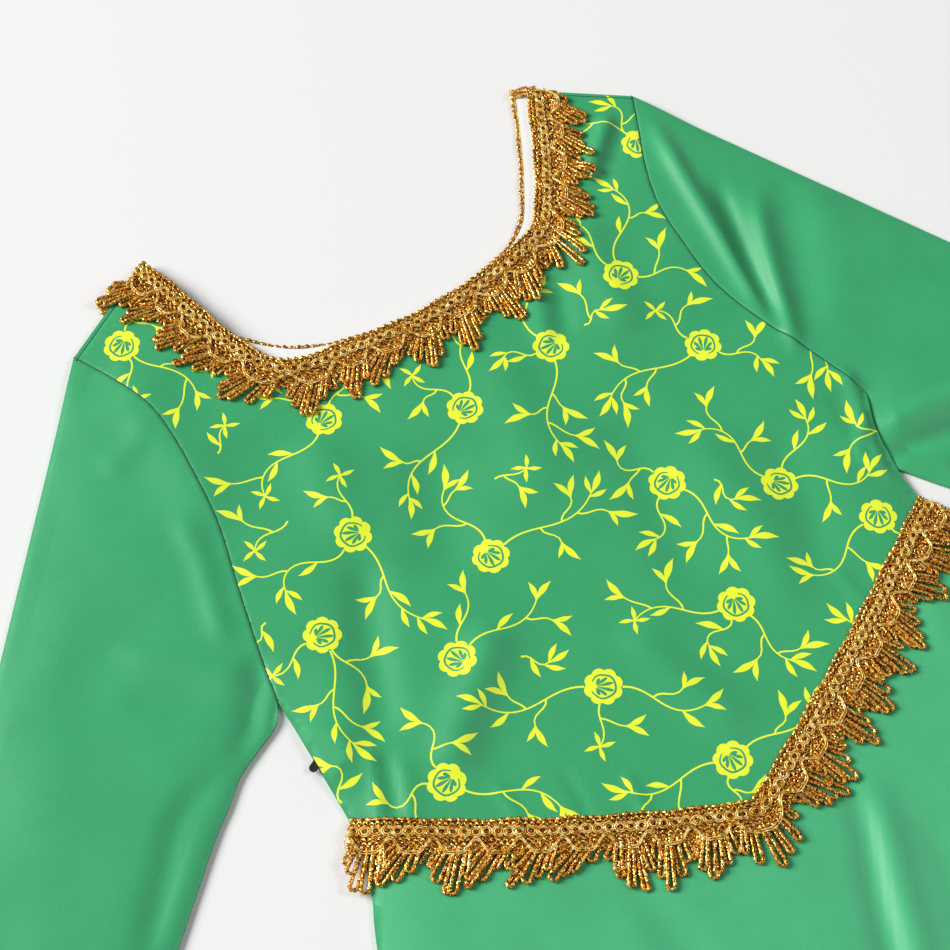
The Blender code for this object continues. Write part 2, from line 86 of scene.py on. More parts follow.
floor_mesh = bpy.data.meshes.new("floor")
floor_mesh.from_pydata([(x * FLOOR_HALF, y * FLOOR_HALF, -FLOOR_DROP)
                        for x, y in ((-1, -1), (1, -1), (1, 1), (-1, 1))], [], [(0, 1, 2, 3)])
floor = bpy.data.objects.new("floor", floor_mesh)
scene.collection.objects.link(floor)
pale = bpy.data.materials.new("pale_table")
pale.use_nodes = True
table_top = pale.node_tree.nodes["Principled BSDF"].inputs
table_top["Base Color"].default_value = (*TABLE_COLOUR, 1)
table_top["Roughness"].default_value = TABLE_ROUGHNESS
floor_mesh.materials.append(pale)


# The skirt: two plain satin panels, flared from the V of the waist to a curved hem and sewn at
# the sides. Its front falls in long soft folds, and a turned and stitched hem ends it.
Point = namedtuple("Point", "x y")
Level = namedtuple("Level", "y left right")
Arm = namedtuple("Arm", "side end sag")
SIDES = (1, -1)
CLOTH = 0.5
LAYER_TOP, LOWER_TOP, EDGE_ROUND, FLAT_TOP = 2.7, 1.2, 40.0, 6.0
WAIST_POINT = Point(0, -197)
WAIST = [Arm(1, Point(192, -85), 3.0), Arm(-1, Point(-199, -94), 6.0)]
SKIRT_SIDE = [Level(-125, 204, 208), Level(-156, 219, 221), Level(-270, 262, 262),
              Level(-480, 330, 330), Level(-720, 400, 400), Level(-1022, 484, 484)]
HEM_CENTRE = Point(0, -1068)


def length_along(points):
    return np.concatenate([[0.0], np.cumsum(np.linalg.norm(np.diff(points, axis=0), axis=1))])


def at_fractions(points, fractions):
    along = length_along(points)
    wanted = np.asarray(fractions) * along[-1]
    return np.stack([np.interp(wanted, along, points[:, i]) for i in range(points.shape[1])], axis=1)


def evenly(points, step):
    points = np.asarray(points, float)
    return at_fractions(points, np.linspace(0, 1, max(2, round(length_along(points)[-1] / step) + 1)))


def curve(table, step=None, fine=24):
    """A smooth line through the points of a table."""
    p = np.array(table, float)
    p = np.vstack([2 * p[0] - p[1], p, 2 * p[-1] - p[-2]])
    t = np.linspace(0, 1, fine, endpoint=False)[:, None]
    runs = [0.5 * (2 * b + (c - a) * t + (2 * a - 5 * b + 4 * c - d) * t ** 2
                   + (3 * b - a - 3 * c + d) * t ** 3)
            for a, b, c, d in zip(p, p[1:], p[2:], p[3:])]
    line = np.vstack(runs + [p[-2:-1]])
    return line if step is None else evenly(line, step)


def nearest(line, x, y):
    """Distance to a line of straight runs, and how far along it the nearest place is."""
    line = np.asarray(line, float)
    along = length_along(line)
    best, where = np.full(np.shape(x), 1e9), np.zeros(np.shape(x))
    for (ax, ay), (bx, by), start in zip(line, line[1:], along):
        run = math.hypot(bx - ax, by - ay)
        t = np.clip(((x - ax) * (bx - ax) + (y - ay) * (by - ay)) / run ** 2, 0, 1)
        d = np.hypot(x - ax - t * (bx - ax), y - ay - t * (by - ay))
        closer = d < best
        best, where = np.where(closer, d, best), np.where(closer, start + t * run, where)
    return best, where / along[-1]


def inside(outline, x, y):
    crossed = np.zeros(np.shape(x), bool)
    for (ax, ay), (bx, by) in zip(outline, np.roll(outline, -1, axis=0)):
        if ay != by:
            crossed ^= ((ay > y) != (by > y)) & (x < (bx - ax) * (y - ay) / (by - ay) + ax)
    return crossed


def corner(level, side):
    return Point(level.left if side > 0 else -level.right, level.y)


def waist_arm(arm, step):
    t = np.linspace(0, 1, 60)[:, None]
    straight = np.array(WAIST_POINT) * (1 - t) + np.array(arm.end) * t
    return evenly(straight - (0, 1) * (arm.sag * 4 * t * (1 - t)), step)


def skirt_side_line(arm, step):
    return curve([arm.end] + [corner(level, arm.side) for level in SKIRT_SIDE], step)


def hem_line(step):
    return curve([corner(SKIRT_SIDE[-1], 1), HEM_CENTRE, corner(SKIRT_SIDE[-1], -1)], step)


# The skirt, bodice and sleeves meet at their seams, so the whole upper layer is shaped as one
# sheet: it is flat but for its folds, and rolls down to the layer below along its outer edges.
ARMHOLE = [Level(264, 199, 205), Level(238, 188, 191), Level(210, 176, 180), Level(182, 168, 177),
           Level(150, 166, 177.5), Level(115, 167, 180), Level(76, 177, 188), Level(34, 194, 196),
           Level(0, 205, 201)]
BODICE_SIDE = [Level(-22, 196, 200), Level(-50, 192, 199.5)]
FRONT_NECK = [Point(-138, 306), Point(-126, 271), Point(-115, 233), Point(-102, 205),
              Point(-86, 193), Point(-57, 190), Point(-10, 186), Point(30, 189.5), Point(54, 194.5),
              Point(74, 199.5), Point(86, 204.5), Point(95, 213.5), Point(105, 229),
              Point(121, 259), Point(141, 302)]
BACK_NECK = [Point(-141, 304), Point(-126, 258), Point(-117, 236), Point(-104.5, 220),
             Point(-84.5, 203.5), Point(-65, 195.5), Point(-40, 189.5), Point(-10, 186.5),
             Point(30, 190), Point(64, 199.5), Point(84, 212), Point(97, 231), Point(115, 265),
             Point(134, 306.5)]
BACK_LIFT, LIFT_FULL, LIFT_NONE = 2.4, 82.0, 125.0
Sleeve = namedtuple("Sleeve", "name side lean underarm")
OVERARM, CUFF = 575.0, 102.0
SLEEVES = [
    Sleeve("sleeve_right", -1, 37.0,
           [Point(-201, 0), Point(-208, -12), Point(-224, -21), Point(-240, -30),
            Point(-254, -43), Point(-272, -59), Point(-314, -101)]),
    Sleeve("sleeve_left", 1, 30.3,
           [Point(192, -52), Point(199, -61), Point(213, -79), Point(240, -112)]),
]
Crease = namedtuple("Crease", "height width path")
CREASES = [
    # wearer's left sleeve: ridges and a deep trough that fan from the armhole seam
    Crease(4.2, 6.5, [(202, 252), (199, 236), (194, 200), (190, 160), (187, 124), (184, 88), (181, 50)]),
    Crease(-4.2, 6.5, [(212, 188), (203, 150), (194, 118), (188, 88), (184, 56)]),
    Crease(2.8, 7.5, [(232, 170), (223, 146), (212, 118), (201, 90), (188, 54), (180, 32)]),
    Crease(1.6, 4.5, [(224, 160), (216, 138), (206, 112), (196, 84), (186, 54), (180, 34)]),
    Crease(-1.6, 12, [(252, 168), (240, 138), (226, 106), (208, 68), (196, 40)]),
    Crease(0.9, 16, [(276, 170), (260, 130), (240, 84), (214, 40)]),
    Crease(3.4, 8, [(184, -12), (206, -23), (236, -28), (284, -34)]),
    Crease(-3.8, 6.5, [(186, -34), (206, -43), (232, -47), (270, -55)]),
    Crease(1.0, 6, [(196, -44), (206, -54), (224, -70)]),
    Crease(1.2, 16, [(250, -20), (276, -60), (300, -120), (330, -170)]),
    Crease(1.4, 20, [(300, 40), (340, -40), (390, -150)]),
    # the tucked underarm at the wearer's left
    Crease(3.2, 5.5, [(194, 30), (201, 8), (194, -16), (187, -41), (184, -64)]),
    Crease(1.3, 4, [(200, -14), (186, -22), (178, -32), (179, -43), (190, -48)]),
    Crease(-1.0, 6, [(187, 12), (184, -8), (186, -24)]),
    # wearer's right sleeve
    Crease(1.0, 9, [(-182, 205), (-200, 190), (-228, 178)]),
    Crease(2.4, 20, [(-190, 250), (-182, 205), (-180, 155), (-184, 100)]),
    Crease(1.8, 8, [(-198, 140), (-199, 104), (-206, 70), (-212, 36)]),
    Crease(-2.4, 9, [(-238, -30), (-219, -6), (-206, 14), (-197, 38)]),
    Crease(-1.0, 9, [(-206, -6), (-226, 10), (-250, 30), (-284, 46)]),
    Crease(0.9, 9, [(-204, 10), (-220, 28), (-244, 52), (-274, 76)]),
    Crease(-1.6, 8, [(-240, -22), (-277, -34), (-306, -66), (-340, -108)]),
    Crease(1.0, 7, [(-254, -40), (-284, -66), (-320, -104)]),
    Crease(1.4, 20, [(-300, 60), (-350, -10), (-400, -90)]),
    Crease(-1.0, 22, [(-230, 120), (-290, 60), (-360, -20), (-440, -130)]),
    # straps
    Crease(3.8, 6.5, [(180, 261), (163, 243), (147, 229), (136, 216)]),
    Crease(-1.0, 6, [(189, 257), (171, 238), (152, 220), (138, 204)]),
    Crease(3.4, 15, [(122, 206), (112, 174), (107, 140), (103, 100)]),
    Crease(0.8, 7, [(-190, 250), (-172, 232), (-150, 226)]),
    # bodice
    Crease(-1.8, 8, [(84, 172), (76, 150), (66, 122)]),
    Crease(1.9, 8, [(72, 172), (62, 150), (50, 122)]),
    Crease(3.0, 22, [(20, 150), (10, 90), (-6, 20)]),
    Crease(-2.6, 20, [(-40, 110), (-62, 50), (-76, 10)]),
    Crease(2.4, 18, [(-104, 150), (-112, 100), (-114, 60)]),
    Crease(-3.6, 13, [(-112, 66), (-125, 34), (-136, 10), (-145, -14), (-154, -38), (-163, -66)]),
    Crease(4.4, 14, [(-66, -12), (-90, -42), (-109, -58), (-126, -76), (-140, -98)]),
    Crease(-2.2, 18, [(62, 70), (56, 0), (44, -70)]),
    Crease(2.6, 15, [(-4, -50), (2, -96), (12, -128), (24, -158)]),
    Crease(2.4, 16, [(98, 50), (96, -40), (78, -120)]),
    Crease(-2.0, 14, [(146, 20), (132, -40), (112, -96)]),
    # gathers above and below the waist seam
    Crease(1.2, 5, [(-168, -50), (-174, -66), (-180, -82), (-186, -100)]),
    Crease(-1.2, 6, [(-162, -52), (-167, -70), (-173, -86), (-178, -102)]),
    Crease(0.9, 6, [(-155, -64), (-161, -80), (-167, -96), (-172, -112)]),
    Crease(0.9, 5, [(-120, -100), (-118, -124), (-122, -150)]),
    Crease(-0.8, 4.5, [(-84, -112), (-82, -134), (-86, -160)]),
    Crease(0.9, 4, [(-52, -132), (-54, -155), (-56, -180)]),
    Crease(0.9, 5, [(120, -84), (122, -106), (126, -130)]),
    # skirt: streaks below the V, and long folds to the hem
    Crease(3.0, 10, [(68, -190), (61, -219), (53, -243), (42, -272), (22, -330), (-2, -400)]),
    Crease(-2.8, 8, [(57, -186), (49, -219), (42, -238), (31, -262), (12, -310), (-12, -370)]),
    Crease(-1.4, 12, [(-76, -170), (-79, -205), (-73, -245), (-60, -300)]),
    Crease(-1.2, 10, [(80, -235), (70, -280), (54, -330)]),
    Crease(1.0, 10, [(160, -120), (152, -160), (150, -210)]),
    Crease(0.9, 12, [(-90, -190), (-100, -250), (-104, -330)]),
    Crease(-0.8, 12, [(-140, -170), (-152, -240), (-160, -320)]),
    Crease(4.2, 30, [(20, -440), (8, -700), (0, -1080)]),
    Crease(3.8, 26, [(-72, -300), (-100, -660), (-118, -1080)]),
    Crease(-2.0, 26, [(-150, -380), (-196, -700), (-210, -1080)]),
    Crease(4.2, 28, [(-185, -240), (-240, -640), (-290, -1070)]),
    Crease(2.0, 24, [(-270, -420), (-340, -700), (-400, -1060)]),
    Crease(4.2, 28, [(122, -270), (160, -660), (190, -1080)]),
    Crease(-1.8, 24, [(70, -420), (88, -700), (96, -1080)]),
    Crease(3.6, 24, [(210, -310), (280, -660), (350, -1060)]),
    Crease(2.2, 22, [(276, -480), (360, -800), (420, -1050)]),
]
Lift = namedtuple("Lift", "x y radius height")
LIFTS = [Lift(-194, -42, 36, 3.6), Lift(201, -24, 46, 2.2)]
LIFT_STEEPNESS = 1.6
SLOW_WAVE, SMALL_WAVE = 0.60, 0.16
HEM_DEPTH, CUFF_DEPTH, STITCH_SINK, STITCH_WIDTH = 22.0, 18.0, 0.35, 1.2
ROLL_WIDTH, ROLL_DROP = 5.0, 0.4
SEAM_HALF_GAP, SEAM_DEPTH, SEAM_WIDTH = 0.05, 0.45, 0.9
SHOULDER_ROLL, SHOULDER_SEAM_DEPTH, SHOULDER_SEAM_WIDTH = 3.2, 0.5 * SEAM_DEPTH, 0.7
RIPPLE, RIPPLE_REACH = 0.08, 4.5


def armhole_line(side, step=None):
    return curve([corner(level, side) for level in ARMHOLE], step)


def bodice_side_line(arm, step=None):
    rows = [corner(level, arm.side) for level in ARMHOLE[-1:] + BODICE_SIDE]
    return curve(rows + [arm.end], step)


def sleeve_lines(s):
    lean = math.radians(s.lean)
    down = np.array([s.side * math.sin(lean), -math.cos(lean)])
    across = np.array([-s.side * math.cos(lean), -math.sin(lean)])
    tip = np.array(corner(ARMHOLE[0], s.side))
    outer = tip + down * OVERARM
    return evenly([tip, outer], 20), curve(s.underarm + [Point(*(outer + across * CUFF))])


def closed_edges():
    lines = [hem_line(60)]
    for arm in WAIST:
        lines += [bodice_side_line(arm, 15), skirt_side_line(arm, 40)]
        neck_end = FRONT_NECK[-1] if arm.side > 0 else FRONT_NECK[0]
        lines.append(np.array([neck_end, corner(ARMHOLE[0], arm.side)], float))
    for s in SLEEVES:
        over, under = sleeve_lines(s)
        lines += [over[[0, -1]], evenly(under, 20)]
    return lines


EDGES = closed_edges()
BACK_NECK_LINE = curve(BACK_NECK, 12)
HEM_SEAM = hem_line(20) + (0, HEM_DEPTH)
ARMHOLES = [armhole_line(side, 12) for side in SIDES]
SHOULDERS = [np.array([neck, corner(ARMHOLE[0], side)], float) - (0, SHOULDER_ROLL)
             for side, neck in ((1, FRONT_NECK[-1]), (-1, FRONT_NECK[0]))]


def back_lift(x, y):
    t = np.clip((LIFT_NONE - nearest(BACK_NECK_LINE, x, y)[0]) / (LIFT_NONE - LIFT_FULL), 0, 1)
    return BACK_LIFT * t * t * (3 - 2 * t)


def creases(x, y):
    height = np.zeros(np.shape(x))
    for c in CREASES:
        path = curve(c.path, fine=4)
        reach = 3 * c.width
        near = ((x > path[:, 0].min() - reach) & (x < path[:, 0].max() + reach)
                & (y > path[:, 1].min() - reach) & (y < path[:, 1].max() + reach))
        if near.any():
            d, along = nearest(path, x[near], y[near])
            taper = np.sin(0.5 * math.pi * np.clip(4 * np.minimum(along, 1 - along), 0, 1)) ** 2
            height[near] += c.height * np.exp(-(d / c.width) ** 2) * taper
    return height


def slow_waves(x, y):
    """Faint unevenness of cloth that was smoothed out by hand."""
    return (SLOW_WAVE * np.sin(x / 27 + 1.3 * np.sin(y / 41)) * np.sin(y / 36 + 0.8)
            + SMALL_WAVE * np.sin(x / 13 - y / 21) * np.sin(y / 17 + x / 41))


def seam_groove(x, y):
    """The stitched lines of the armholes and shoulders, and the short ripples that they draw up."""
    height = np.zeros(np.shape(x))
    for line in ARMHOLES:
        d, along = nearest(line, x, y)
        ripple = np.sin(along * 150 + 2 * np.sin(along * 31)) + 0.6 * np.sin(along * 83)
        height += (RIPPLE * ripple * np.exp(-(d / RIPPLE_REACH) ** 2)
                   - SEAM_DEPTH * np.exp(-(d / SEAM_WIDTH) ** 2))
    for line in SHOULDERS:
        d = nearest(line, x, y)[0]
        height -= SHOULDER_SEAM_DEPTH * np.exp(-(d / SHOULDER_SEAM_WIDTH) ** 2)
    return height


def upper_form(x, y):
    d = np.min([nearest(line, x, y)[0] for line in EDGES], axis=0)
    t = np.clip(d / EDGE_ROUND, 0, 1)
    low = LAYER_TOP + back_lift(x, y)
    body = low + (FLAT_TOP - low) * (1 - (1 - t) ** 2)
    body -= ROLL_DROP * np.clip(1 - d / ROLL_WIDTH, 0, 1) ** 2
    hem = nearest(HEM_SEAM, x, y)[0]
    body -= STITCH_SINK * np.exp(-(hem / STITCH_WIDTH) ** 2)
    return body + (creases(x, y) + slow_waves(x, y)) * np.clip(3 * t, 0, 1)


def neighbour_shares(t):
    """How much each of four neighbours in a row counts, for a smooth line through them."""
    return (-0.5 * t + t ** 2 - 0.5 * t ** 3, 1 - 2.5 * t ** 2 + 1.5 * t ** 3,
            0.5 * t + 2 * t ** 2 - 1.5 * t ** 3, -0.5 * t ** 2 + 0.5 * t ** 3)


def sampled(height, low, high, cell):
    """A height that is worked out once on a fine grid and then looked up between its points."""
    across = np.arange(low[0], high[0] + cell, cell)
    up = np.arange(low[1], high[1] + cell, cell)
    grid = height(*np.meshgrid(across, up))

    def look_up(x, y):
        i = np.clip((np.asarray(x) - low[0]) / cell, 1, len(across) - 2.001)
        j = np.clip((np.asarray(y) - low[1]) / cell, 1, len(up) - 2.001)
        i0, j0 = i.astype(int), j.astype(int)
        found = 0.0
        for row, down in enumerate(neighbour_shares(j - j0), -1):
            for column, side in enumerate(neighbour_shares(i - i0), -1):
                found = found + grid[j0 + row, i0 + column] * down * side
        return found
    return look_up


RELIEF_LOW, RELIEF_HIGH, RELIEF_CELL = Point(-560, -1072), Point(494, 320), 2.0
upper_layer = sampled(upper_form, RELIEF_LOW, RELIEF_HIGH, RELIEF_CELL)


def front_layer(x, y):
    height = upper_layer(x, y)
    for lift in LIFTS:
        r = np.hypot(x - lift.x, y - lift.y) / lift.radius
        height = height + lift.height * np.clip(LIFT_STEEPNESS * (1 - r), 0, 1) ** 2
    return height


class Value:
    """A socket of a material: arithmetic on it adds Math nodes, and node() adds any other."""

    def __init__(self, tree, socket=None):
        self.tree, self.socket = tree, socket

    def node(self, kind, settings=(), inputs=(), output=0):
        made = self.tree.nodes.new(kind)
        for name, setting in dict(settings).items():
            if name == "stops":
                ramp = made.color_ramp.elements
                while len(ramp) < len(setting):
                    ramp.new(0.5)
                for stop, (place, colour) in zip(ramp, setting):
                    stop.position, stop.color = place, (*colour, 1)
            else:
                setattr(made, name, setting)
        for name, value in dict(inputs).items():
            if isinstance(value, Value):
                self.tree.links.new(value.socket, made.inputs[name])
            else:
                made.inputs[name].default_value = value
        return Value(self.tree, made.outputs[output])

    def math(self, operation, a, b):
        return self.node("ShaderNodeMath", {"operation": operation}, {0: a, 1: b})

    def __add__(self, other):
        return self.math("ADD", self, other)

    def __rsub__(self, other):
        return self.math("SUBTRACT", other, self)

    def __mul__(self, other):
        return self.math("MULTIPLY", self, other)

    __radd__, __rmul__ = __add__, __mul__


OBJECT_PLACE = 3
MIX_SHARE, MIX_FIRST, MIX_SECOND, MIX_RESULT = 0, 6, 7, 2


def finish(name, roughness, metallic=0.0, **constants):
    """A new material with its constant sockets set, its object coordinates and its shader node."""
    material = bpy.data.materials.new(name)
    material.use_nodes = True
    shader = material.node_tree.nodes["Principled BSDF"]
    shader.inputs["Roughness"].default_value = roughness
    shader.inputs["Metallic"].default_value = metallic
    for socket, value in constants.items():
        shader.inputs[socket.replace("_", " ")].default_value = value
    place = Value(material.node_tree).node("ShaderNodeTexCoord", output=OBJECT_PLACE)
    return material, place, shader


def link(value, shader, socket):
    value.tree.links.new(value.socket, shader.inputs[socket])


def mixed(share, first, second):
    """A colour between two others, each of them three numbers or a value."""
    first, second = [end if isinstance(end, Value) else (*end, 1) for end in (first, second)]
    return share.node("ShaderNodeMix", {"data_type": "RGBA"},
                      {MIX_SHARE: share, MIX_FIRST: first, MIX_SECOND: second}, MIX_RESULT)


def noise(place, scale, detail=2.0):
    return place.node("ShaderNodeTexNoise", inputs={"Vector": place, "Scale": scale, "Detail": detail})


def link_bump(height, strength, depth, shader):
    link(height.node("ShaderNodeBump", inputs={"Strength": strength, "Distance": depth,
                                               "Height": height}), shader, "Normal")


SATIN_ROUGHNESS, SATIN_SPECULAR, SATIN_SHEEN = 0.47, 0.42, 0.08
FLOAT_STRETCH, WEAVE_SCALE, MOTTLE_SCALE = (1.0, 0.16, 1.0), 1900.0, 26.0
WEAVE_GLOSS, GLOSS_GAIN, WEAVE_BUMP, WEAVE_DEPTH = 0.10, 0.04, 0.10, 0.0002


def satin(name, shade, tint, roughness=SATIN_ROUGHNESS):
    """Long floats over a fine weave: a smooth, slightly streaked gloss with faint mottling."""
    material, place, shader = finish(name, roughness, Specular_IOR_Level=SATIN_SPECULAR,
                                     Sheen_Weight=SATIN_SHEEN)
    floats = place.node("ShaderNodeMapping", inputs={"Vector": place, "Scale": FLOAT_STRETCH})
    weave, mottle = noise(floats, WEAVE_SCALE), noise(place, MOTTLE_SCALE, 3.0)
    link(mixed(mottle * 0.5 + weave * 0.5, shade, tint), shader, "Base Color")
    link(roughness - GLOSS_GAIN + WEAVE_GLOSS * weave, shader, "Roughness")
    link_bump(weave, WEAVE_BUMP, WEAVE_DEPTH, shader)
    return material


GREEN_SATIN = satin("green_satin", (0.022, 0.285, 0.108), (0.048, 0.41, 0.166))
# The skirt is cut from the same satin as the sleeves; this copy of it is lighter and greyer as painted
# light, where the skirt lies brighter.
SKIRT_LIT_SATIN = satin("skirt_satin_painted_light", (0.042, 0.350, 0.150), (0.074, 0.48, 0.215))
# The seam thread's near-black green is painted shade, standing for the shadow in the groove of the
# armhole and shoulder seams.
SEAM_SHADE_GREEN = satin("seam_painted_shade", (0.004, 0.080, 0.034), (0.007, 0.110, 0.048), 0.7)
WHITE_BACKING = satin("white_wrong_side", (0.78, 0.80, 0.78), (0.84, 0.85, 0.84), 0.6)


ROW_SHARE, RIM_CLEAR, MERGE_WITHIN = 0.866, 0.4, 1e-7


def hexagon_grid(outline, spacing):
    low, high = outline.min(0), outline.max(0)
    gx, gy = np.meshgrid(np.arange(low[0], high[0], spacing),
                         np.arange(low[1], high[1], spacing * ROW_SHARE))
    gx = gx + (np.arange(len(gy)) % 2)[:, None] * spacing / 2
    x, y = gx.ravel(), gy.ravel()
    keep = inside(outline, x, y)
    x, y = x[keep], y[keep]
    clear = nearest(np.vstack([outline, outline[:1]]), x, y)[0] > RIM_CLEAR * spacing
    return np.column_stack([x, y])[clear]


def triangles(outline, inner, loops=()):
    """Triangles inside an outline that use the inner points and keep each loop's edges."""
    points, edges, count = [outline], [], len(outline)
    edges += [(i, (i + 1) % count) for i in range(count)]
    for ring in loops:
        edges += [(count + i, count + (i + 1) % len(ring)) for i in range(len(ring))]
        points.append(ring)
        count += len(ring)
    every = np.vstack(points + [inner]) * MM
    found = delaunay_2d_cdt([tuple(p) for p in every], edges, [], 0, MERGE_WITHIN)
    flat = np.array([tuple(v) for v in found[0]]) / MM
    faces = np.array([tuple(f) for f in found[2]])
    x, y = flat[faces].mean(axis=1).T
    used, faces = np.unique(faces[inside(outline, x, y)], return_inverse=True)
    return flat[used], faces.reshape(-1, 3)


def unit(rows):
    """Each row of an array as a direction of length 1."""
    return rows / np.linalg.norm(rows, axis=1)[:, None]


def slopes(height, x, y, step=0.6):
    """Unit normals of the surface z = height(x, y)."""
    dx = (height(x + step, y) - height(x - step, y)) / (2 * step)
    dy = (height(x, y + step) - height(x, y - step)) / (2 * step)
    return unit(np.column_stack([-dx, -dy, np.ones_like(dx)]))


def add_object(name, points, faces, finishes, which=None):
    mesh = bpy.data.meshes.new(name)
    mesh.from_pydata((np.asarray(points) * MM).tolist(), [], [list(map(int, f)) for f in faces])
    for material in finishes:
        mesh.materials.append(material)
    if which is not None:
        mesh.polygons.foreach_set("material_index", np.asarray(which, np.int32))
    mesh.shade_smooth()
    thing = bpy.data.objects.new(name, mesh)
    scene.collection.objects.link(thing)
    return thing


def cloth(name, flat, faces, over, finishes, which=None, wrong_side=0, wall=CLOTH):
    """A thin shell of cloth whose outer face is at the height over(x, y)."""
    x, y = flat.T
    high, count = over(x, y), len(flat)
    points = np.vstack([np.column_stack([x, y, high]), np.column_stack([x, y, high - wall])])
    edges = np.vstack([faces[:, [0, 1]], faces[:, [1, 2]], faces[:, [2, 0]]])
    _, first, uses = np.unique(np.sort(edges, axis=1), axis=0, return_index=True,
                               return_counts=True)
    single = first[uses == 1]
    rim = edges[single]
    inner = faces[:, ::-1] + count
    walls = np.column_stack([rim[:, 1], rim[:, 0], rim[:, 0] + count, rim[:, 1] + count])
    which = np.zeros(len(faces), int) if which is None else which
    index = np.concatenate([which, np.full(len(faces), wrong_side), which[single % len(faces)]])
    thing = add_object(name, points, faces.tolist() + inner.tolist() + walls.tolist(), finishes,
                       index)
    normal = slopes(over, x, y)
    normals = np.vstack([normal, -normal])
    run = flat[rim[:, 1]] - flat[rim[:, 0]]
    out = unit(np.column_stack([run[:, 1], -run[:, 0], np.zeros(len(rim))]))
    loops = np.vstack([normals[faces.ravel()], normals[inner.ravel()], np.repeat(out, 4, axis=0)])
    thing.data.normals_split_custom_set(loops.tolist())
    return thing


def skirt_outline(step):
    sides = {arm.side: np.vstack([waist_arm(arm, 6) - (0, SEAM_HALF_GAP),
                                  skirt_side_line(arm, step)[1:]]) for arm in WAIST}
    return np.vstack([sides[1], hem_line(step)[1:-1], sides[-1][::-1][:-1]])


SKIRT_SPACING, SKIRT_NEAR_SPACING, SKIRT_NEAR_Y, HEM_NEAR = 10.0, 5.0, -430.0, 6.0
outline = skirt_outline(SKIRT_SPACING)
coarse, fine = hexagon_grid(outline, SKIRT_SPACING), hexagon_grid(outline, SKIRT_NEAR_SPACING)
fine = fine[(fine[:, 1] > SKIRT_NEAR_Y) | (nearest(HEM_SEAM, *fine.T)[0] < HEM_NEAR)]
coarse = coarse[(coarse[:, 1] < SKIRT_NEAR_Y) & (nearest(HEM_SEAM, *coarse.T)[0] > HEM_NEAR)]
flat, faces = triangles(outline, np.vstack([fine, coarse]))
skirt_front = cloth("skirt_front_cloth", flat, faces, front_layer, [SKIRT_LIT_SATIN])
flat, faces = triangles(outline, hexagon_grid(outline, 3 * SKIRT_SPACING))
skirt_back = cloth("skirt_back_cloth", flat, faces, lambda x, y: 0 * x + LOWER_TOP, [SKIRT_LIT_SATIN],
                   wall=LOWER_TOP)
for piece, node in ((skirt_front, "skirt_front"), (skirt_back, "skirt_back")):
    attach(piece, "dress")
    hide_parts(node)


# The sleeves: each is one piece of plain satin, sewn along the underarm to a tube, set into the
# armhole and pressed flat. The upper layer carries the folds, and the cuff is turned and stitched.
SLEEVE_RINGS, SLEEVE_ACROSS, RING_CROWDING, COLUMN_CROWDING = 130, 90, 1.25, 0.12
SHARP_FOLD = math.radians(60)


def sleeve_plan(s):
    """Rings of points from the armhole to the cuff, as seen from above."""
    arm = next(arm for arm in WAIST if arm.side == s.side)
    tucked = bodice_side_line(arm)
    seam = np.vstack([armhole_line(s.side), tucked[tucked[:, 1] > s.underarm[0].y][1:]])
    seam = seam + (s.side * SEAM_HALF_GAP, 0)
    along = np.linspace(0, 1, SLEEVE_RINGS) ** RING_CROWDING
    u = np.linspace(0, 1, SLEEVE_ACROSS)
    u = (u - COLUMN_CROWDING * np.sin(2 * math.pi * u) / (2 * math.pi))[:, None]
    seam = at_fractions(seam, u[:, 0])
    over, under = [at_fractions(line, along) for line in sleeve_lines(s)]
    over = over + (seam[0] - over[0]) * (1 - along)[:, None]
    under = under + (seam[-1] - under[0]) * (1 - along)[:, None]
    cuff = over[-1] * (1 - u) + under[-1] * u
    return np.array([(1 - v) * seam + v * cuff + (1 - u) * over[ring] + u * under[ring]
                     - (1 - v) * ((1 - u) * seam[0] + u * seam[-1])
                     - v * ((1 - u) * cuff[0] + u * cuff[-1])
                     for ring, v in enumerate(along)])


def sleeve_skin(plan, high, low, inset):
    """One skin of the flattened tube: upper layer, underarm seam, lower layer and top fold."""
    squeezed = plan.copy()
    for end, neighbour in ((0, 1), (-1, -2)):
        squeezed[:, end] += inset * unit(plan[:, neighbour] - plan[:, end])
    fold = 0.5 * (high + low)
    return np.concatenate([np.dstack([squeezed, high - inset]),
                           np.dstack([squeezed[:, -1:], fold[:, -1:]]),
                           np.dstack([squeezed, low + inset])[:, ::-1],
                           np.dstack([squeezed[:, :1], fold[:, :1]])], axis=1)


def sleeve_faces(around):
    """The outer skin, the inner skin, and the rims that join them at the armhole and the cuff."""
    base = np.arange(around)
    following = (base + 1) % around
    inner = SLEEVE_RINGS * around
    last = inner - around

    def bridge(a, b):
        return np.column_stack([a + base, a + following, b + following, b + base])

    faces = []
    for start in range(0, last, around):
        faces += [bridge(start, start + around), bridge(inner + start + around, inner + start)]
    return np.vstack(faces + [bridge(inner, 0), bridge(last, inner + last)])


def sleeve_top(x, y):
    return upper_layer(x, y) + seam_groove(x, y)


def smooth_upper_layer(mesh, around, x, y):
    """Gives the open part of the upper layer the normals of its own form."""
    mesh.set_sharp_from_angle(angle=SHARP_FOLD)
    vertex = np.zeros(len(mesh.loops), np.int32)
    mesh.loops.foreach_get("vertex_index", vertex)
    normals = np.zeros(3 * len(mesh.loops), np.float32)
    mesh.corner_normals.foreach_get("vector", normals)
    normals = normals.reshape(-1, 3)
    ring, spot = vertex // around, vertex % around
    open_face = np.flatnonzero((ring > 0) & (ring < SLEEVE_RINGS - 1)
                               & (spot > 0) & (spot < SLEEVE_ACROSS - 1))
    exact = slopes(sleeve_top, x, y)
    normals[open_face] = exact[ring[open_face] * SLEEVE_ACROSS + spot[open_face]]
    mesh.normals_split_custom_set(normals.tolist())


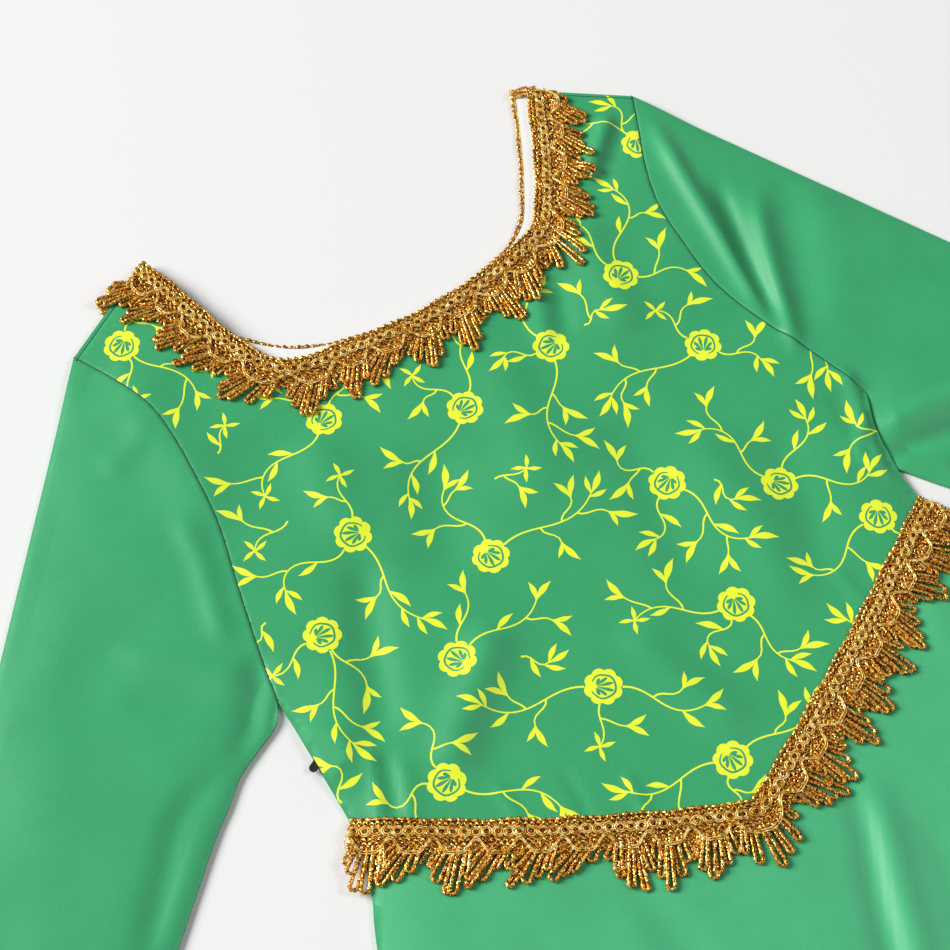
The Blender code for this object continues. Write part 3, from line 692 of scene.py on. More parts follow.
def sleeve(s):
    plan = sleeve_plan(s)
    x, y = plan.reshape(-1, 2).T
    to_cuff = nearest(plan[-1, [0, -1]], x, y)[0]
    high = sleeve_top(x, y) - STITCH_SINK * np.exp(-((to_cuff - CUFF_DEPTH) / STITCH_WIDTH) ** 2)
    high, low = [height.reshape(SLEEVE_RINGS, SLEEVE_ACROSS) for height in (high, back_lift(x, y))]
    skins = [sleeve_skin(plan, high, low, inset) for inset in (0.0, CLOTH)]
    around = skins[0].shape[1]
    faces = sleeve_faces(around)
    if s.side < 0:
        faces = faces[:, ::-1]
    thing = add_object(s.name + "_cloth", np.concatenate([skin.reshape(-1, 3) for skin in skins]),
                       faces, [GREEN_SATIN])
    smooth_upper_layer(thing.data, around, x, y)
    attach(thing, "dress")
    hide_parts(s.name)


CRINKLE, BEAD_NECK, BEAD_SWELL, BEAD_ROUND, TINY = 0.15, 0.34, 0.66, 1.5, 1e-12


def tube(path, radius, sides=6, twist=0.0, pitch=2.0, closed=False, rough=None, press=1.0,
         beads=None):
    """Points and faces of a cord along a path, with a two-ply twist and a crinkle raised on it."""
    path = np.asarray(path, float)
    if closed:
        tangent = np.roll(path, -1, axis=0) - np.roll(path, 1, axis=0)
    else:
        tangent = np.gradient(path, axis=0)
    tangent /= np.linalg.norm(tangent, axis=1)[:, None] + TINY
    side = np.cross(tangent, (0, 0, 1.0))
    side /= np.linalg.norm(side, axis=1)[:, None] + TINY
    up = np.cross(side, tangent)
    angle = np.linspace(0, 2 * math.pi, sides, endpoint=False)[None, :]
    along = length_along(path)[:, None]
    r = radius * (1 + twist * np.cos(2 * angle - 2 * math.pi * along / pitch))
    if rough is not None:
        r = r * (1 + CRINKLE * rough.standard_normal((len(path), sides)))
    if beads:
        r = r * (BEAD_NECK + BEAD_SWELL * np.abs(np.sin(math.pi * along / beads)) ** BEAD_ROUND)
    ring = (side[:, None] * (r * np.cos(angle))[..., None]
            + up[:, None] * (r * np.sin(angle))[..., None]) * (1, 1, press)
    points = (path[:, None] + ring).reshape(-1, 3)
    count = len(path)
    spans = np.arange(count if closed else count - 1)
    base = np.arange(sides)
    a = spans[:, None] * sides + base[None]
    b = spans[:, None] * sides + (base[None] + 1) % sides
    following = (spans[:, None] + 1) % count
    c = following * sides + (base[None] + 1) % sides
    d = following * sides + base[None]
    faces = np.stack([a, b, c, d], axis=-1).reshape(-1, 4).tolist()
    if not closed:
        faces += [list(range(sides))[::-1], list(range((count - 1) * sides, count * sides))]
    return points, faces


SEAM_THREAD, SEAM_SINK, SEAM_STEP = 0.42, 0.30, 2.0


def seam_thread(name, line):
    """The line where two pieces are stitched together: a thread coloured far darker than the cloth, as
    painted shade in the seam's groove.
    """
    x, y = line.T
    path = np.column_stack([x, y, upper_layer(x, y) - SEAM_SINK])
    thing = add_object(name, *tube(path, SEAM_THREAD), [SEAM_SHADE_GREEN])
    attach(thing, "dress")


for s, shoulder in zip(SLEEVES, SHOULDERS[::-1]):
    sleeve(s)
    seam_thread(s.name + "_seam", armhole_line(s.side, SEAM_STEP))
    seam_thread(s.name + "_shoulder_seam", evenly(shoulder, SEAM_STEP))


# The print on the bodice: small lobed roses on wandering stems, with pointed leaves to either
# side and a few four-leaved sprigs. It is screened in one yellow on the green satin.
ROSE_RADIUS, LOBES, LOBE_ROOT, LOBE_SWELL = 11.4, 8, 0.83, 0.17
HEART_SHARE, HEART_LINE, HEART_POINTS, FAN_FOOT = 0.63, 1.3, 34, 0.40
FAN = ((-66, 0.50), (-40, 0.74), (-14, 0.95), (13, 0.92), (39, 0.76), (64, 0.48))
FAN_WIDTHS = [0.4, 1.0, 1.6, 2.1, 2.0, 0.8]
STEM_WIDTH, LEAF_SHARE, LEAF_STALK = 1.15, 0.22, 0.9
LONG_LEAF, SHORT_LEAF, SIDE_LEAF, SPRIG_LEAF = (14, 18), (10.5, 14), (13, 17), 9.5
MAIN_BEND, TWIG_BEND, TWIG_LENGTH = (0.5, 1.2), (0.2, 0.7), (11, 22)
TWIG_PLACES, TWIG_TURN, SIDE_LEAF_TURN = (0.4, 0.78), (0.8, 1.2), (0.5, 0.8)
SECOND_TWIG, THIRD_TWIG = 34, 52
TWIG_SHARE, SPRIG_SHARE, THREE_LEAVES_SHARE = 0.62, 0.22, 0.6
Rose = namedtuple("Rose", "x y turn")
ROSES = [Rose(-176, 256, 40), Rose(-92, 148, 200), Rose(-14, 112, 190), Rose(54, 124, 10),
         Rose(136, 78, 240), Rose(66, 8, 30), Rose(-114, 70, 350), Rose(-50, 18, 100),
         Rose(-160, 22, 170), Rose(58, -80, 75), Rose(124, -26, 130), Rose(162, -74, 60),
         Rose(-36, -86, 150), Rose(-142, -92, 15), Rose(4, -160, 95), Rose(182, 228, 80),
         Rose(-100, -30, 300), Rose(118, 146, 210)]
Spray = namedtuple("Spray", "stems leaves")
PRINT_ROUNDS, TRIES, FILLERS, PRINT_SEED = 3, 110, 40, 4
STEM_CLEAR, LEAF_CLEAR, TIP_CLEAR, EMPTY_ENOUGH, PRINT_CELL = 4.8, 6.0, 3.2, 19.0, 2.5
ROOM_COUNTED, SIZE_WORTH, CUT_OFF_COST, FAR = 15, 0.05, 14, 99
ROSE_SPRAY_WORTH, FILLER_WORTH, FILLER_LENGTH, FILLER_REACH = 6.5, 5.0, (14, 34), -8.0


def petal_edge(rose):
    """The lobed outer edge of a rose."""
    t = np.linspace(0, 2 * math.pi, 10 * LOBES, endpoint=False)
    lobe = np.abs(np.sin(LOBES * t / 2 + rose.turn)) ** 0.6
    r = ROSE_RADIUS * (LOBE_ROOT + LOBE_SWELL * lobe)
    return np.column_stack([rose.x + r * np.cos(t), rose.y + r * np.sin(t)])


def band(path, widths):
    """The outline of a stroke along a path, with its width at each point."""
    path = np.asarray(path, float)
    tangent = unit(np.gradient(path, axis=0))
    normal = np.column_stack([-tangent[:, 1], tangent[:, 0]])
    half = np.broadcast_to(np.asarray(widths, float), (len(path),))[:, None] / 2
    return np.vstack([path + normal * half, (path - normal * half)[::-1]])


def rose_gaps(rose):
    """The unprinted lines inside a rose: a ring that isn't quite closed, and a fan of strokes."""
    base = math.radians(rose.turn)
    centre = np.array([rose.x, rose.y])
    t = base + np.linspace(0.42, 5.86, HEART_POINTS)
    reach = HEART_SHARE * ROSE_RADIUS * (1 + 0.03 * np.sin(5 * t))
    ring = centre + reach[:, None] * np.column_stack([np.cos(t), np.sin(t)])
    thinning = np.sin(math.pi * np.linspace(0.04, 0.96, HEART_POINTS)) ** 0.3
    gaps = [band(ring, HEART_LINE * thinning)]
    foot = centre + FAN_FOOT * ROSE_RADIUS * np.array([math.cos(base), math.sin(base)])
    for spread, share in FAN:
        turn = base + math.pi + math.radians(spread)
        run = np.linspace(0.10, share, len(FAN_WIDTHS))[:, None] * ROSE_RADIUS
        gaps.append(band(foot + run * np.array([math.cos(turn), math.sin(turn)]), FAN_WIDTHS))
    return gaps


def stem(start, heading, length, bend):
    """A path that bends one way and then the other."""
    count = max(6, int(length / 2.5))
    turn = heading + bend * np.sin(1.35 * math.pi * np.linspace(0, 1, count))
    run = np.column_stack([np.cos(turn), np.sin(turn)]) * length / (count - 1)
    return np.asarray(start) + np.vstack([[0, 0], np.cumsum(run[:-1], axis=0)])


def leaf(root, heading, length, bow):
    """The curved spine of a leaf."""
    turn = heading + bow * np.linspace(-0.4, 1, 10)
    run = np.column_stack([np.cos(turn), np.sin(turn)]) * length / 9
    return np.asarray(root) + np.vstack([[0, 0], np.cumsum(run[:-1], axis=0)])


def tuft(path, dice, count):
    """Two or three leaves at the end of a stem."""
    before, end = path[-2:]
    heading = math.atan2(*(end - before)[::-1])
    long, short = dice.uniform(*LONG_LEAF), dice.uniform(*SHORT_LEAF)
    side = dice.choice((-1, 1))
    if count == 2:
        return [leaf(end, heading + 0.25 * side, long, 0.3 * side),
                leaf(end, heading - 0.6 * side, short, -0.4 * side)]
    return [leaf(end, heading, long, 0.35 * side), leaf(end, heading + 0.75, short, -0.35),
            leaf(before, heading - 0.8, short, 0.4)]


def spray(root, heading, length, dice):
    """A bending stem with a branch or two, each of them ending in leaves."""
    bend = dice.choice((-1, 1)) * dice.uniform(*MAIN_BEND)
    main = stem(root, heading, length, bend)
    turn = np.arctan2(*np.gradient(main, axis=0).T[::-1])
    stems, leaves = [main], []
    side = dice.choice((-1, 1))
    for place in np.linspace(*TWIG_PLACES, 1 + (length > SECOND_TWIG) + (length > THIRD_TWIG)):
        i = int(place * (len(main) - 1))
        if dice.random() < TWIG_SHARE:
            twig = stem(main[i], turn[i] + side * dice.uniform(*TWIG_TURN),
                        dice.uniform(*TWIG_LENGTH), -side * dice.uniform(*TWIG_BEND))
            stems.append(twig)
            leaves += tuft(twig, dice, 2)
        else:
            leaves.append(leaf(main[i], turn[i] + side * dice.uniform(*SIDE_LEAF_TURN),
                               dice.uniform(*SIDE_LEAF), -0.4 * side))
        side = -side
    if dice.random() < SPRIG_SHARE:
        leaves += [leaf(main[-1], turn[-1] + math.pi / 4 + k * math.pi / 2, SPRIG_LEAF, 0.25)
                   for k in range(4)]
    else:
        leaves += tuft(main, dice, 2 + (dice.random() < THREE_LEAVES_SHARE))
    return Spray(stems, leaves)


def print_layout(outline, beyond):
    """Roses, and sprays that grow from them into whatever space is left inside the outline."""
    dice = np.random.default_rng(PRINT_SEED)
    low, high = outline.min(0) - 20, outline.max(0) + 20
    across, up = [np.arange(low[k], high[k] + PRINT_CELL, PRINT_CELL) for k in range(2)]
    gx, gy = np.meshgrid(across, up)
    gap = np.min([np.hypot(gx - rose.x, gy - rose.y) - ROSE_RADIUS for rose in ROSES], axis=0)
    within = beyond(gx, gy) < 1.0

    def gaps(points):
        i, j = ((points - low) / PRINT_CELL).round().astype(int).T
        return gap[np.clip(j, 0, len(up) - 1), np.clip(i, 0, len(across) - 1)]

    def best_spray(root, reach, lengths, least):
        """The best of many tries that keep clear of all else, or none that scores over the least."""
        best = None
        for _ in range(TRIES):
            heading = dice.uniform(0, 2 * math.pi)
            start = np.asarray(root) + reach * np.array([math.cos(heading), math.sin(heading)])
            made = spray(start, heading, dice.uniform(*lengths), dice)
            points = np.vstack([made.stems[0][4:], *made.stems[1:], *made.leaves])
            free = gaps(points)
            middles = np.array([spine[6] for spine in made.leaves])
            apart = np.linalg.norm(middles[:, None] - middles[None], axis=2)
            tips, lines = np.vstack([spine[5:] for spine in made.leaves]), np.vstack(made.stems)
            aside = np.linalg.norm(tips[:, None] - lines[None], axis=2).min()
            if (free.min() < STEM_CLEAR or aside < TIP_CLEAR
                    or (apart + FAR * np.eye(len(apart))).min() < LEAF_CLEAR):
                continue
            score = (np.minimum(free, ROOM_COUNTED).mean() + SIZE_WORTH * len(points)
                     - CUT_OFF_COST * (beyond(*points.T) > 2).mean())
            if score > least and (best is None or score > best[0]):
                best = (score, made, points)
        return best

    sprays = []

    def keep(found):
        _, made, points = found
        sprays.append(made)
        for x, y in points:
            np.minimum(gap, np.hypot(gx - x, gy - y), out=gap)

    for turn in range(PRINT_ROUNDS):
        lengths = (30 - 5 * turn, 66 - 12 * turn)
        for rose in ROSES:
            found = best_spray((rose.x, rose.y), 0.95 * ROSE_RADIUS, lengths, ROSE_SPRAY_WORTH)
            if found:
                keep(found)
    for _ in range(FILLERS):
        spots = np.argwhere((gap > EMPTY_ENOUGH) & within)
        if not len(spots):
            break
        j, i = spots[dice.integers(len(spots))]
        found = best_spray((across[i], up[j]), FILLER_REACH, FILLER_LENGTH, FILLER_WORTH)
        if found:
            keep(found)
    yellow = [petal_edge(rose) for rose in ROSES]
    for made in sprays:
        yellow += [band(path, STEM_WIDTH * np.linspace(1, 0.7, len(path))) for path in made.stems]
        for spine in made.leaves:
            t = np.linspace(0, 1, len(spine))
            width = LEAF_SHARE * length_along(spine)[-1] * np.sin(math.pi * t ** 1.1) ** 1.5
            yellow.append(band(spine, width + LEAF_STALK * (1 - t) + 0.1))
    return yellow, [line for rose in ROSES for line in rose_gaps(rose)]


# The bodice: two printed satin panels with a scooped neck, sewn at the shoulders and sides.
# Their wrong side is white, and shows in a strip at the neck where the back stands higher.
BODICE_SPACING, BACK_SPACING, NECK_STEP = 4.0, 9.0, 3.0
SEAM_ROWS, SHOULDER_ROWS, ROW_STEP = (0.7, 1.4, 2.6), (-1.0, 0.0, 1.0), 3.0
BACK_EDGE_SHORT, TURNED_IN = 0.8, 9.0
PRINT_MARGIN = 60
GREEN_FACE, WHITE_FACE = 0, 2
PRINTED_SATIN = satin("printed_green_satin", (0.020, 0.275, 0.104), (0.046, 0.40, 0.160))
YELLOW_INK = satin("yellow_ink", (0.74, 0.87, 0.016), (0.84, 0.93, 0.050), 0.5)
BODICE_FINISHES = [PRINTED_SATIN, YELLOW_INK, WHITE_BACKING]


def bodice_outline(neck):
    sides = {}
    for arm in WAIST:
        inward = (-arm.side * SEAM_HALF_GAP, 0)
        sides[arm.side] = np.vstack([armhole_line(arm.side, 5) + inward,
                                     bodice_side_line(arm, 5)[1:-1] + inward,
                                     waist_arm(arm, 6)[::-1] + (0, SEAM_HALF_GAP)])
    top = curve(neck, NECK_STEP)
    if neck is BACK_NECK:
        ways = unit(np.gradient(top, axis=0))
        top = top + BACK_EDGE_SHORT * np.column_stack([ways[:, 1], -ways[:, 0]])
    return np.vstack([top, sides[1], sides[-1][::-1][1:]])


front_outline = bodice_outline(FRONT_NECK)
front_ring = np.vstack([front_outline, front_outline[:1]])
beyond_front = sampled(lambda x, y: nearest(front_ring, x, y)[0] * ~inside(front_outline, x, y),
                       front_outline.min(0) - PRINT_MARGIN, front_outline.max(0) + PRINT_MARGIN,
                       PRINT_CELL)
YELLOW_SHAPES, GREEN_LINES = print_layout(front_outline, beyond_front)


def printed_panel(neck, spacing, mirror):
    """Triangles of a panel that keep the edges of its print, and which of them are yellow."""
    outline = bodice_outline(neck)
    yellow, green = [[ring * (mirror, 1) for ring in rings]
                     for rings in (YELLOW_SHAPES, GREEN_LINES)]
    loops = [ring for ring in yellow + green if beyond_front(*ring.T).min() < 1]
    rows = [armhole_line(side, ROW_STEP)[1:-1] - (side * inward, 0)
            for side in SIDES for inward in SEAM_ROWS]
    rows += [evenly(line, ROW_STEP)[1:-1] + (0, up) for line in SHOULDERS for up in SHOULDER_ROWS]
    flat, faces = triangles(outline, np.vstack([hexagon_grid(outline, spacing), *rows]), loops)
    x, y = flat[faces].mean(axis=1).T
    inked = np.zeros(len(faces), bool)
    for rings, value in ((yellow, True), (green, False)):
        for ring in rings:
            low, high = ring.min(0), ring.max(0)
            near = np.flatnonzero((x > low[0]) & (x < high[0]) & (y > low[1]) & (y < high[1]))
            inked[near[inside(ring, x[near], y[near])]] = value
    return flat, faces, inked.astype(int)


flat, faces, inked = printed_panel(FRONT_NECK, BODICE_SPACING, 1)
bodice_front = cloth("bodice_front_cloth", flat, faces,
                     lambda x, y: front_layer(x, y) + seam_groove(x, y),
                     BODICE_FINISHES, inked, wrong_side=WHITE_FACE)
flat, faces, inked = printed_panel(BACK_NECK, BACK_SPACING, -1)
bodice_back = cloth("bodice_back_cloth", flat, faces, lambda x, y: back_lift(x, y) + LOWER_TOP,
                    BODICE_FINISHES, 0 * inked + WHITE_FACE, wall=LOWER_TOP)
to_side = [nearest(bodice_side_line(arm), *flat[faces].mean(axis=1).T)[0] for arm in WAIST]
index = np.zeros(len(bodice_back.data.polygons), np.int32)
index[:len(faces)] = np.where(np.min(to_side, axis=0) < TURNED_IN, GREEN_FACE, WHITE_FACE)
index[len(faces):2 * len(faces)] = inked
bodice_back.data.polygons.foreach_set("material_index", index)
for piece, node in ((bodice_front, "bodice_front"), (bodice_back, "bodice_back")):
    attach(piece, "dress")
    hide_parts(node)


# The braid: a bought trim of metal-wrapped yarn. A heading with a picot edge, a chain of rings
# and a doubled wavy cord carries scallops of hanging loops. It is sewn round the neck and waist.
SCALLOP, HEADING, BRAID_INSET = 24.0, 21.0, 0.5
WAIST_BRAID_RISE, CORNER_ROUND, END_TURN = 11.0, 10.0, 45.0
GROUND_EDGE, GROUND_FOOT, GROUND_TOP, GROUND_STEP = 1.0, 0.15, 0.8, 2.0
RING_PITCH, RING_RADIUS, RING_AT, RING_WIRE, RING_LIFT = 6.1, 2.8, 7.4, 0.42, 3.0
RING_STRETCH, RING_STEP, RING_RISE, RING_PLAY, RING_SPOTS = 1.15, 1.0, 0.2, 0.3, 15
WAVE_AT, WAVE_DEPTH, WAVE_WIRE, WAVE_APART, WAVE_LIFT = 16.2, 4.0, 0.42, 1.35, 3.9
WAVE_POINTED, WAVE_PLAY = 0.32, 0.3
Loop = namedtuple("Loop", "lean reach")
SCALLOPS = [[Loop(-12, 30), Loop(-6, 36), Loop(-2, 44), Loop(2, 42), Loop(6, 36), Loop(11, 31)],
            [Loop(-12, 31), Loop(-7, 39), Loop(-2, 45), Loop(3, 39), Loop(7, 34), Loop(12, 29)],
            [Loop(-11, 29), Loop(-6, 33), Loop(-3, 38), Loop(2, 43), Loop(5, 45), Loop(10, 34)]]
SCALLOP_ORDER = [0, 1, 2, 1, 0, 0, 2, 1]
NECK_SWAYS = [-38, -34, -36, -30, -30, -27, -30, -42, -26, -20, -16, -20, -24, -30, -34, -34, -30]
WAIST_SWAYS = [-8, -34, -20, -30, -34, -44, -4, 0, -6, 0, 6, 0, -2, -8, -13, -10, 14, 10, -4]
LOOP_CORD, LOOP_ROOT, LOOP_APART, LOOP_CLEAR = 1.2, 15.5, 3.1, 0.1
LOOP_TWIST, LOOP_PLY, LOOP_STACK, STACK_FALL = 0.18, 2.2, 1.5, 0.7
LEAN_PLAY, REACH_PLAY, TIP_PLAY = 3, (-3.5, 1.5), 1.6
NECK_LOOPS, WAIST_LOOPS = (2.5, 4.0), (2.6, 5.0)
PURL_CORD, PURL_SWAY, PURL_RISE, PURL_TWIST, PURL_PLY = 0.85, 0.8, 0.4, 0.2, 1.9
PURL_WAVE, PURL_WAVE_MORE, PURL_PHASE = 3.4, 0.35, 2.1
PURL_ROWS = {2.6: 1.5, 4.6: 1.1, 6.4: 0.7, 8.4: 0.7, 10.2: 1.1, 12.2: 1.5, 14.4: 1.5, 16.6: 1.4,
             18.8: 1.3}
BEAD, BEAD_PITCH, BEAD_STEP, BEAD_OUT, BEAD_SWAY, BEAD_LIFT = 1.5, 4.6, 0.5, 0.2, 0.4, 1.4
CORD_STEP, BACK_CORD_STEP = 0.72, 1.3
BACK_FLATTENING, BACK_INSET = 0.44, -1.0
LAP = [(131.5, 308.0), (147.0, 300.5)]
LAP_ROWS, LAP_APART, LAP_START_LIFT, LAP_END_LIFT = 4, 1.8, 1.2, 2.2
STRAY_THREAD = [(-198, -87, 5.0), (-206, -91, 3.0), (-209, -98, 1.6), (-204, -105, 2.2)]
STRAY_RADIUS, STRAY_STEP = 0.28, 0.8
BRAID_SEED = 5
CELL_COLOUR = 1
GOLD_STOPS, GLINTS_FROM, GLINTS_TO = (0.30, 0.50, 0.66), 0.60, 0.70
HOLLOW_DULL, GLINT_GLOSS = 0.15, 0.3
YARN_SCALE, YARN_BUMP, YARN_DEPTH = 0.8, 0.5, 0.0003
PURL_FINISH, CORD_FINISH = 0, 1


def gold(name, dark, middle, bright, painted_glint, fine, roughness, metallic=0.8):
    """Metal yarn, at random in small cells: dark brown, partly its core and partly painted shade, gold
    faces, and a scatter of bright specks painted as glints.
    """
    material, place, shader = finish(name, roughness, metallic, Specular_IOR_Level=0.4)
    cells = place.node("ShaderNodeTexVoronoi", inputs={"Vector": place, "Scale": fine},
                       output=CELL_COLOUR)
    grey = cells.node("ShaderNodeRGBToBW", inputs={0: cells})
    ramp = grey.node("ShaderNodeValToRGB",
                     {"stops": list(zip(GOLD_STOPS, (dark, middle, bright)))}, {0: grey})
    glint_share = grey.node("ShaderNodeMapRange", {"interpolation_type": "SMOOTHSTEP"},
                        {0: grey, 1: GLINTS_FROM, 2: GLINTS_TO})
    # The bright specks mixed into the colour are painted glints, and the darkest stop is painted shade
    # as well as the yarn's brown core.
    link(mixed(glint_share, ramp, painted_glint), shader, "Base Color")
    link(roughness + HOLLOW_DULL - GLINT_GLOSS * glint_share, shader, "Roughness")
    link_bump(noise(place, fine * YARN_SCALE), YARN_BUMP, YARN_DEPTH, shader)
    return material


PURL = gold("gold_purl", (0.085, 0.018, 0.001), (0.75, 0.250, 0.006), (1.0, 0.49, 0.026),
            (1.0, 0.76, 0.23), 1450.0, 0.42)
GOLD_CORD = gold("pale_gold_cord", (0.44, 0.19, 0.012), (0.84, 0.49, 0.065), (0.97, 0.68, 0.16),
                 (1.0, 0.86, 0.38), 700.0, 0.36, 0.3)


class Trim:
    """Collects cords in the braid's own measures and lays them on the cloth."""

    def __init__(self, line, rest, ends, flip, rounding):
        line = evenly(line, 1.0)
        self.line, self.along, self.rest, self.flip = line, length_along(line), rest, flip
        tangent = np.gradient(line, axis=0)
        window = np.ones(int(rounding)) / int(rounding)
        padded = np.pad(tangent, ((len(window), len(window)), (0, 0)), mode="edge")
        soft = np.stack([np.convolve(padded[:, i], window, "same") for i in range(2)], axis=1)
        soft = soft[len(window):-len(window)]
        facing = unit(np.column_stack([soft[:, 1], -soft[:, 0]]))
        for end, left in zip(ends, (self.along, self.along[-1] - self.along)):
            t = np.clip(1 - left / END_TURN, 0, 1)[:, None]
            facing = facing * (1 - t) + np.array(end) * t
        self.facing = unit(facing)
        self.length = self.along[-1]
        self.points, self.faces, self.finish, self.count = [], [], [], 0

    def lay_straight(self, s, across, out, lift):
        """Points out from a place on the upper edge and across from it, at heights off the cloth."""
        x, y = [np.interp(s, self.along, self.line[:, i]) for i in range(2)]
        fx, fy = [np.interp(s, self.along, self.facing[:, i]) for i in range(2)]
        x, y = x + out * fx - across * fy, y + out * fy + across * fx
        return np.column_stack([x, y, self.rest(x, y) + self.flip * np.asarray(lift)])

    def lay(self, s, out, lift):
        """Points at distances along the upper edge, which runs on straight past its ends."""
        past = np.maximum(s - self.length, 0) + np.minimum(s, 0)
        return self.lay_straight(s, past, out, lift)

    def add(self, points, faces, finish):
        self.points.append(points)
        self.faces.extend([[i + self.count for i in face] for face in faces])
        self.finish.extend([finish] * len(faces))
        self.count += len(points)

    def cord(self, s, out, lift, radius, finish, **more):
        self.add(*tube(self.lay(s, out, lift + 0 * s), radius, press=abs(self.flip), **more), finish)

    def object(self, name, node):
        thing = add_object(name, np.vstack(self.points), self.faces, [PURL, GOLD_CORD], self.finish)
        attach(thing, "dress")
        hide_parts(node)


def heading(trim, step, inset, dice):
    """The flat upper part of the braid: purl ground, picots, a chain of rings and a wavy cord."""
    length = trim.length
    s = np.arange(0, length + 1, GROUND_STEP)
    rows = [trim.lay(s, np.full_like(s, out), lift) for out, lift in
            ((inset + GROUND_EDGE, GROUND_FOOT), (inset + GROUND_EDGE, GROUND_TOP),
             (HEADING - GROUND_EDGE, GROUND_TOP), (HEADING - GROUND_EDGE, GROUND_FOOT))]
    faces = [[4 * i + k, 4 * i + (k + 1) % 4, 4 * i + 4 + (k + 1) % 4, 4 * i + 4 + k]
             for i in range(len(s) - 1) for k in range(4)]
    faces += [[3, 2, 1, 0], [4 * len(s) - 4 + k for k in range(4)]]
    trim.add(np.stack(rows, axis=1).reshape(-1, 3), faces, PURL_FINISH)
    s = np.arange(0, length, step)
    for k, (out, lift) in enumerate(PURL_ROWS.items()):
        swing = 2 * math.pi * s / (PURL_WAVE + PURL_WAVE_MORE * (k % 3)) + PURL_PHASE * k
        sway = PURL_SWAY * np.sin(swing)
        trim.cord(s, out + inset - BRAID_INSET + sway + 0.3 * np.sin(s / 1.7 + k),
                  lift + PURL_RISE * np.cos(swing), PURL_CORD, PURL_FINISH, twist=PURL_TWIST,
                  pitch=PURL_PLY, rough=dice)
    s = np.arange(0, length, BEAD_STEP)
    trim.cord(s, inset - BEAD_OUT + BEAD_SWAY * np.sin(s / 5.3), BEAD_LIFT, BEAD, PURL_FINISH,
              beads=BEAD_PITCH, rough=dice)
    ring = np.linspace(0, 2 * math.pi, RING_SPOTS, endpoint=False)
    for k in range(int(length / RING_PITCH)):
        centre = (k + 0.5) * RING_PITCH + dice.uniform(-RING_PLAY, RING_PLAY)
        out = RING_AT + dice.uniform(-RING_PLAY, RING_PLAY)
        for radius, more in ((RING_RADIUS, 0.0), (RING_RADIUS - RING_STEP, RING_RISE)):
            trim.cord(centre + RING_STRETCH * radius * np.cos(ring), out + radius * np.sin(ring),
                      RING_LIFT + more, RING_WIRE, CORD_FINISH, sides=5, closed=True)
    s = np.arange(0, length, 1.0)
    phase = 2 * math.pi * s * round(length / SCALLOP) / length
    wave = np.cos(phase) + WAVE_POINTED * np.cos(2 * phase)
    for apart in (0.0, WAVE_APART):
        trim.cord(s, WAVE_AT - WAVE_DEPTH * wave + apart, WAVE_LIFT + WAVE_PLAY * np.sin(s / 3.1),
                  WAVE_WIRE, CORD_FINISH, sides=5)


def shoulder_lap(trim, dice):
    """The back braid's end, turned over onto the front one's at the wearer's left shoulder."""
    start, end = np.array(LAP)
    t = np.linspace(0, 1, 20)[:, None]
    down = np.array([end[1] - start[1], start[0] - end[0]]) / np.linalg.norm(end - start)
    for row in range(LAP_ROWS):
        plan = start * (1 - t) + end * t + down * (row * LAP_APART + 0.5 * np.sin(9 * t + 2 * row))
        x, y = plan.T
        rise = front_layer(*end) + LAP_END_LIFT - BACK_LIFT - LAP_START_LIFT
        lift = back_lift(x, y) + LAP_START_LIFT + rise * t[:, 0]
        trim.add(*tube(np.column_stack([plan, lift]), PURL_CORD, rough=dice),
                 (PURL_FINISH, CORD_FINISH)[row % 2])


def stray_thread(trim, dice):
    """A loose end of the wavy cord, where the waist braid was cut."""
    trim.add(*tube(curve(STRAY_THREAD, STRAY_STEP), STRAY_RADIUS, sides=5, rough=dice), CORD_FINISH)


def hairpin(run, half, step):
    """A cord down one side, round the end and back: how far down, and how far aside."""
    t = np.linspace(0, 2 * run + math.pi * half, int((2 * run + math.pi * half) / step))
    turn = np.clip((t - run) / half, 0, math.pi)
    down = np.minimum(t, run) + half * np.sin(turn) - np.maximum(t - run - math.pi * half, 0)
    return down, -half * np.cos(turn) * (0.5 + 0.5 * np.clip(down / run, 0, 1))


def loops(trim, step, dice, widths, sways):
    """The hanging loops of each scallop, the middle ones longest and every other one on top."""
    scallops = round(trim.length / SCALLOP)
    for k in range(scallops):
        middle = (k + 0.5) * trim.length / scallops
        group = SCALLOPS[SCALLOP_ORDER[k % len(SCALLOP_ORDER)]]
        for j, loop in enumerate(group):
            lean = math.radians(loop.lean + sways[k % len(sways)]
                                + dice.uniform(-LEAN_PLAY, LEAN_PLAY))
            half = 0.5 * dice.uniform(*widths)
            run = loop.reach + dice.uniform(*REACH_PLAY) - LOOP_ROOT - LOOP_CORD - half
            down, aside = hairpin(run, half, step)
            aside = aside + dice.uniform(-TIP_PLAY, TIP_PLAY) * (down / run) ** 2
            root = (j - (len(group) - 1) / 2) * LOOP_APART
            across = down * math.sin(lean) + aside * math.cos(lean)
            out = LOOP_ROOT + down * math.cos(lean) - aside * math.sin(lean)
            over = LOOP_STACK * ((j + k) % 2) * (1 - STACK_FALL * np.clip(down / run, 0, 1) ** 3)
            path = trim.lay_straight(middle + root, across, out, LOOP_CORD + LOOP_CLEAR + over)
            trim.add(*tube(path, LOOP_CORD, twist=LOOP_TWIST, pitch=LOOP_PLY, rough=dice,
                           press=abs(trim.flip)), PURL_FINISH)


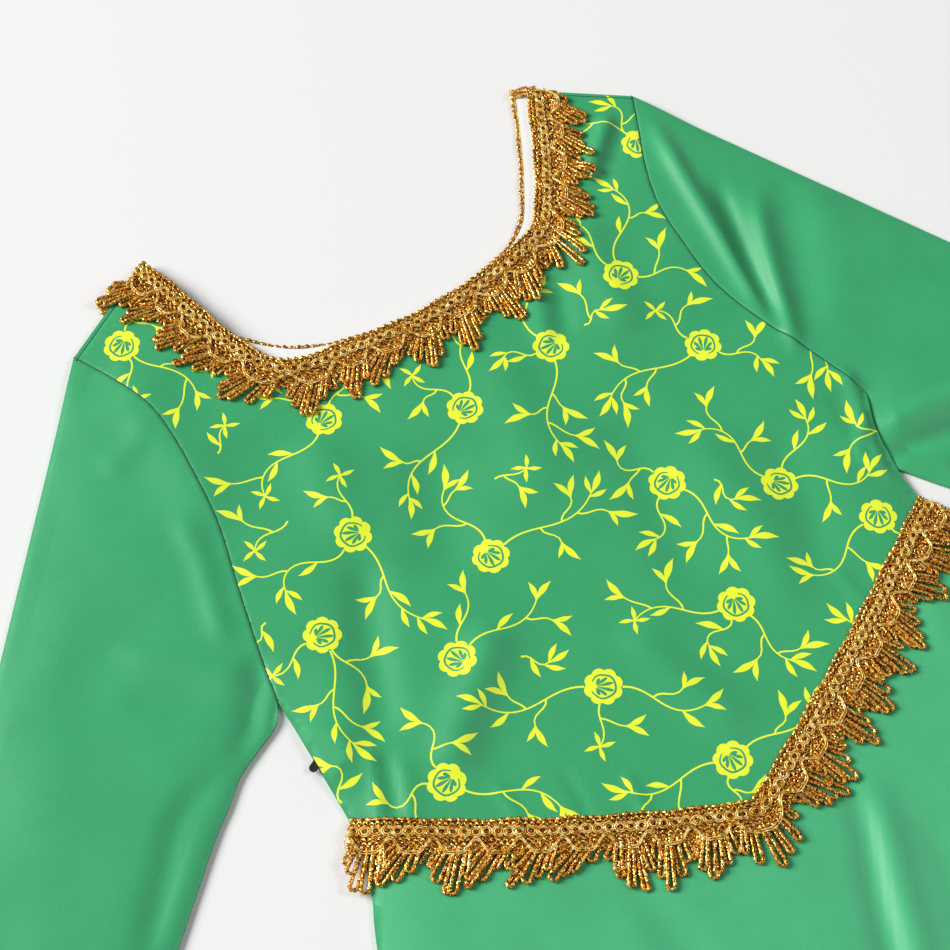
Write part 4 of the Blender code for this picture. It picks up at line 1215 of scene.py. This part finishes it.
def braid(name, node, line, rest, ends=(), flip=1.0, inset=BRAID_INSET, rounding=CORNER_ROUND,
          step=CORD_STEP, widths=NECK_LOOPS, sways=NECK_SWAYS, extra=None, seed=BRAID_SEED):
    """A length of braid along a line, as one object for its heading and one for its loops."""
    parts = {"heading": lambda trim, dice: heading(trim, step, inset, dice),
             "loops": lambda trim, dice: loops(trim, step, dice, widths, sways)}
    if extra:
        parts[extra.__name__] = extra
    for part, make in parts.items():
        trim = Trim(line, rest, ends, flip, rounding)
        make(trim, np.random.default_rng(seed))
        trim.object(f"{name}_{part}", node)


def shoulder_directions(neck):
    """Where the braid points at both ends of a neck line: along the shoulder seams."""
    return unit(np.array([np.subtract(corner(ARMHOLE[0], side), end)
                          for side, end in ((-1, neck[0]), (1, neck[-1]))]))


arms = [waist_arm(arm, GROUND_STEP) + (0, WAIST_BRAID_RISE) for arm in WAIST]
braid("neck_front", "neck_braid_front", curve(FRONT_NECK), front_layer,
      shoulder_directions(FRONT_NECK), extra=shoulder_lap)
braid("waist", "waist_braid", np.vstack([arms[1][::-1], arms[0][1:]]), front_layer,
      rounding=2 * CORNER_ROUND, widths=WAIST_LOOPS, sways=WAIST_SWAYS, extra=stray_thread,
      seed=BRAID_SEED + 1)
braid("neck_back", "neck_braid_back", BACK_NECK_LINE, back_lift, shoulder_directions(BACK_NECK),
      flip=-BACK_FLATTENING, inset=BACK_INSET, step=BACK_CORD_STEP, seed=BRAID_SEED + 2)


# The zip: a black enamelled slider inside the wearer's right side seam, with a small drop-shaped
# pull on it that peeks out between the two layers.
BLACK_TINT, BLACK_WORN = (0.010, 0.010, 0.012), (0.035, 0.034, 0.036)
ENAMEL_GLOSS, ENAMEL_WEAR, WEAR_SCALE = 0.2, 0.25, 900.0


def black_enamel():
    material, place, shader = finish("black_enamel", 0.3, 0.25, Coat_Weight=0.4)
    wear = noise(place, WEAR_SCALE, 3.0)
    link(mixed(wear, BLACK_TINT, BLACK_WORN), shader, "Base Color")
    link(ENAMEL_GLOSS + ENAMEL_WEAR * wear, shader, "Roughness")
    return material


BLACK = black_enamel()
for node in ("zip_slider", "zip_pull"):
    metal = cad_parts[node]
    metal.data.materials.clear()
    metal.data.materials.append(BLACK)
